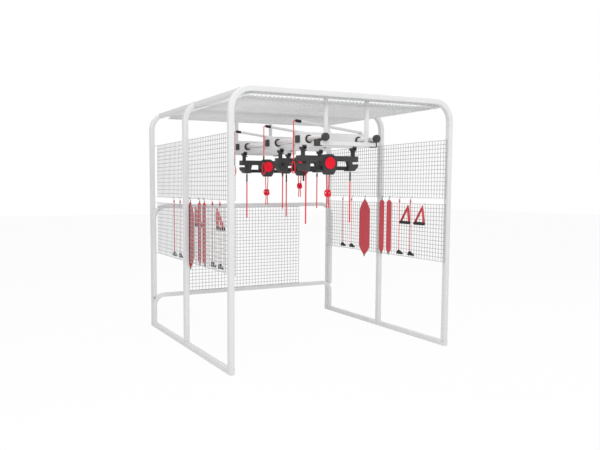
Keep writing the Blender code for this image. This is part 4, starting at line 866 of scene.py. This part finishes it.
# Slings. Two wide and four narrow slings of red woven cloth over a thin foam core, sewn round the
# edge. They narrow to a tip at both ends, and each tip has a dark steel ring.
SLING_X = 1.1187
SLING_TOP = 1.427
TIP_HALF = 0.01
STITCH = 0.0055
SEAM_INSET = 0.0075
WIDE = (0.2, 0.642, 0.15, 0.122, 1.0)
NARROW = (0.086, 0.58, 0.035, 0.055, 0.8)
SLINGS = {"left_wide_sling": (-0.015, WIDE), "right_wide_sling": (0.224, WIDE),
          "left_narrow_sling_rear": (-0.256, NARROW), "left_narrow_sling_front": (-0.377, NARROW),
          "right_narrow_sling_rear": (-0.09, NARROW), "right_narrow_sling_front": (-0.216, NARROW)}


def woven(name, dark, light, thread):
    """Plain weave: warp and weft as the product of two waves across and along the cloth, over soft
    patches of lighter and darker colour."""
    material, tree, shader = principled(name, light, 0.85, specular=0.2)
    where = add(tree, "ShaderNodeSeparateXYZ", {0: add(tree, "ShaderNodeTexCoord")["Object"]})
    height = crossing(tree, where[1], where[2], 0.5 / thread)
    weave = calc(tree, "MULTIPLY_ADD", height, 0.4, 0.0)
    amount = calc(tree, "MULTIPLY_ADD", noise(tree, 22.0, 4.0), 0.6, weave)
    coat(tree, shader, amount, dark, light, (0.9, 0.75), height, 0.5, 0.0004)
    return material, "red_webbing"


def sling_half_width(distance, size):
    """Half the width at a distance from the top: from the tip's it rises to the full one along a
    quarter sine raised to a power, over the taper at each end."""
    width, height, top_taper, low_taper, power = size
    top = np.sin(np.pi / 2 * np.clip(distance / top_taper, 0, 1)) ** power
    low = np.sin(np.pi / 2 * np.clip((height - distance) / low_taper, 0, 1)) ** power
    return TIP_HALF + (width / 2 - TIP_HALF) * np.minimum(top, low)


def flattened(wave):
    """A sine or cosine raised to the power 0.6, with its sign kept."""
    return np.sign(wave) * np.abs(wave) ** 0.6


CLOTH = woven("red_sling_cloth", (0.56, 0.07, 0.09), (0.76, 0.115, 0.14), 0.0011)
THREAD = woven("light_thread", (0.55, 0.1, 0.12), (0.66, 0.14, 0.16), 0.0006)
for name, (y, size) in SLINGS.items():
    side = -1 if name.startswith("left") else 1
    distance = size[1] * (1 - np.cos(np.linspace(0, np.pi, 90))) / 2
    half_width = sling_half_width(distance, size)
    angle = np.linspace(0, 2 * np.pi, 40, endpoint=False)
    across = flattened(np.cos(angle))
    face_x = side * (SLING_X - 0.0004)
    crown = 0.0012 * np.sin(np.pi * distance / size[1]) * np.sin(distance * 31 + y * 9)
    thickness = 0.0018 + 0.001 * np.clip(half_width / 0.03, 0, 1)
    ring_x = face_x + thickness[:, None] * flattened(np.sin(angle)) + crown[:, None] * (1 - across ** 2)
    ring_y = y + side * half_width[:, None] * across
    ring_z = (SLING_TOP - distance)[:, None] + 0 * across
    shell = skin(columns(ring_x, ring_y, ring_z)[:, ::side])
    cloth = piece(name + "_cloth", [shell], CLOTH, name, sharp=60.0)
    down = np.arange(0.02, size[1] - 0.02, STITCH)
    edge = np.interp(down, distance, half_width) - SEAM_INSET
    seam_x = np.full(len(edge), face_x - side * 0.0031)
    stitch = block((-0.0004, -0.0006, -0.0018), (0.0004, 0.0006, 0.0018), 0.0003, 0.0002)
    seams = [repeat(stitch, columns(seam_x, seam_y, SLING_TOP - down))
             for seam_y in (y - edge, y + edge)]
    thread = piece(name + "_stitches", seams, THREAD, name)
    rings = [eye((side * SLING_X, y, SLING_TOP + 0.003), 0.015, 0.018, 0.0018),
             eye((side * SLING_X, y, SLING_TOP - size[1] - 0.004), 0.022, 0.024, 0.0034),
             hook(side, y, UPPER_WIRE, SLING_TOP + 0.008)]
    fixing = piece(name + "_rings", rings, DARK_STEEL, name)


# Handles. A band of red webbing passes through a ribbed black grip and meets in a point, where it
# hangs on a steel hook over the lower grille's top wire.
LOWER_WIRE = 1.395
HANDLE_X = 1.096
HANDLE_TOP = 1.381
BAND_LOW = 0.1865
BAND_HALF = 0.07
GRIP_LONG = 0.15
GRIP_RADIUS = 0.0158
HANDLES = {"left_handle_rear": (-0.141, 0.045), "left_handle_front": (-0.661, 0.045),
           "right_handle_rear": (-0.527, -0.027), "right_handle_front": (-0.747, -0.027)}
WEBBING = woven("red_webbing_band", (0.56, 0.06, 0.08), (0.76, 0.105, 0.13), 0.0009)


def tilt(shells, x, side):
    """Shells turned five degrees towards the room about the handle's top."""
    sine = side * math.sin(math.radians(5.0))
    cosine = math.cos(math.radians(5.0))
    turn = np.array([(cosine, 0, -sine), (0, 1, 0), (sine, 0, cosine)])
    top = np.array([x, 0, HANDLE_TOP])
    return [((points - top) @ turn + top, groups, corners) for points, groups, corners in shells]


for name, (y, lean) in HANDLES.items():
    side = -1 if name.startswith("left") else 1
    x = side * HANDLE_X
    t = np.linspace(0, 1, 7)[:, None]
    feet = np.array([(lean - 0.003, -0.02), (lean + 0.003, -0.02)])
    apex = np.array([lean, 0.001])
    near, far = apex + unit(feet - apex) * 0.006
    fold = (1 - t) ** 2 * near + 2 * t * (1 - t) * apex + t ** 2 * far
    legs = [np.linspace((sign * BAND_HALF, -BAND_LOW), foot, 9) for sign, foot in zip((-1, 1), feet)]
    band = np.concatenate([legs[0], fold, legs[1][::-1]]) + (y, HANDLE_TOP - 0.002)
    below = np.clip((HANDLE_TOP - band[:, 1]) / 0.06, 0, 1)
    taper = columns(0.5 + 0.5 * below, 1 + 0 * below)[:, None]
    strap = sweep(band @ YZ + (x, 0, 0), rounded(0.03, 0.0036, 0.0012, 4) * taper, (1, 0, 0))
    piece(name + "_strap", tilt([strap], x, side), WEBBING, name)
    ridge = np.linspace(0, 1, 181)
    swell = GRIP_RADIUS + 0.0008 * np.cos(ridge * 24 * np.pi) ** 2
    ends = np.clip(np.minimum(ridge, 1 - ridge) / 0.03, 0, 1)
    swell *= 0.72 + 0.28 * np.sqrt(1 - (1 - ends) ** 2)
    profile = columns(swell, GRIP_LONG * (ridge - 0.5))
    grip = turned(profile, (x, y, HANDLE_TOP - 0.184), (0, 1, 0))
    piece(name + "_grip", tilt([grip], x, side), BLACK, name)
    turn = np.linspace(0, np.pi, 9)
    over = columns(PANEL_X - HOOK_BEND * np.cos(turn), LOWER_WIRE + 0.002 + HOOK_BEND * np.sin(turn))
    route = np.concatenate([[(HANDLE_X - 0.004, HANDLE_TOP - 0.01), (HANDLE_X + 0.004, HANDLE_TOP - 0.012),
                             (HANDLE_X + 0.014, HANDLE_TOP - 0.006), (1.119, HANDLE_TOP + 0.004)], over,
                            [(1.1305, LOWER_WIRE - 0.004), (1.1305, LOWER_WIRE - 0.01)]])
    hook_path = through(route * (side, 1) @ XZ + (0, y + lean, 0), 24)
    piece(name + "_hook", [tube(*domed(hook_path, HOOK_RADIUS), sides=8)], ZINC, name)


# Studio. A pale floor that keeps the soft shadow, three large lamps and an even white surround.
def seen_directly(tree):
    """1 for rays from the camera, off mirrors and through glass, and 0 for all others."""
    ray = add(tree, "ShaderNodeLightPath")
    shown = calc(tree, "MAXIMUM", ray["Is Camera Ray"], ray["Is Glossy Ray"])
    return calc(tree, "MAXIMUM", shown, ray["Is Transmission Ray"])


def studio_surface(name, lit_share):
    """A pale matt surface that the camera, and what mirrors it, sees partly as plain white."""
    material, tree, shader = principled(name, (0.95, 0.95, 0.95), 1.0, specular=0.0)
    share = calc(tree, "MULTIPLY", seen_directly(tree), lit_share)
    glow = add(tree, "ShaderNodeEmission", {"Color": (1, 1, 1, 1), "Strength": 1.0})
    mixed = add(tree, "ShaderNodeMixShader", {0: share, 1: shader.outputs[0], 2: glow[0]})
    tree.links.new(mixed[0], tree.nodes["Material Output"].inputs["Surface"])
    return material


FLOOR_HALF = 30.0
FLOOR_Z = -0.001
floor_mesh = bpy.data.meshes.new("floor")
corners = [(x * FLOOR_HALF, y * FLOOR_HALF, FLOOR_Z) for x, y in ((-1, -1), (1, -1), (1, 1), (-1, 1))]
floor_mesh.from_pydata(corners, [], [(0, 1, 2, 3)])
floor_mesh.materials.append(studio_surface("studio_floor", 0.94))
linked("floor", floor_mesh)

world = bpy.data.worlds.new("studio")
world.use_nodes = True
tree = world.node_tree
strength = add(tree, "ShaderNodeMapRange", {0: seen_directly(tree), 3: 0.55, 4: 1.0})
background = tree.nodes["Background"]
background.inputs["Color"].default_value = (1.0, 1.0, 1.0, 1.0)
tree.links.new(strength[0], background.inputs["Strength"])
bpy.context.scene.world = world


def lamp(name, place, target, size, power):
    """A large square lamp that faces a point."""
    data = bpy.data.lights.new(name, "AREA")
    data.size = size
    data.energy = power
    made = linked(name, data)
    made.location = place
    aim = unit(np.subtract(place, target))
    made.rotation_euler = (math.acos(aim[2]), 0.0, math.atan2(aim[1], aim[0]) + math.pi / 2)


lamp("key", (-3.5, -5.0, 5.0), (0, 0, 1.2), 4.0, 170.0)
lamp("fill", (5.0, -4.0, 3.0), (0, 0, 1.2), 4.0, 60.0)
lamp("top", (0.0, 0.0, 6.0), (0, 0, 1.0), 5.0, 80.0)

bpy.context.scene.view_settings.view_transform = "Standard"
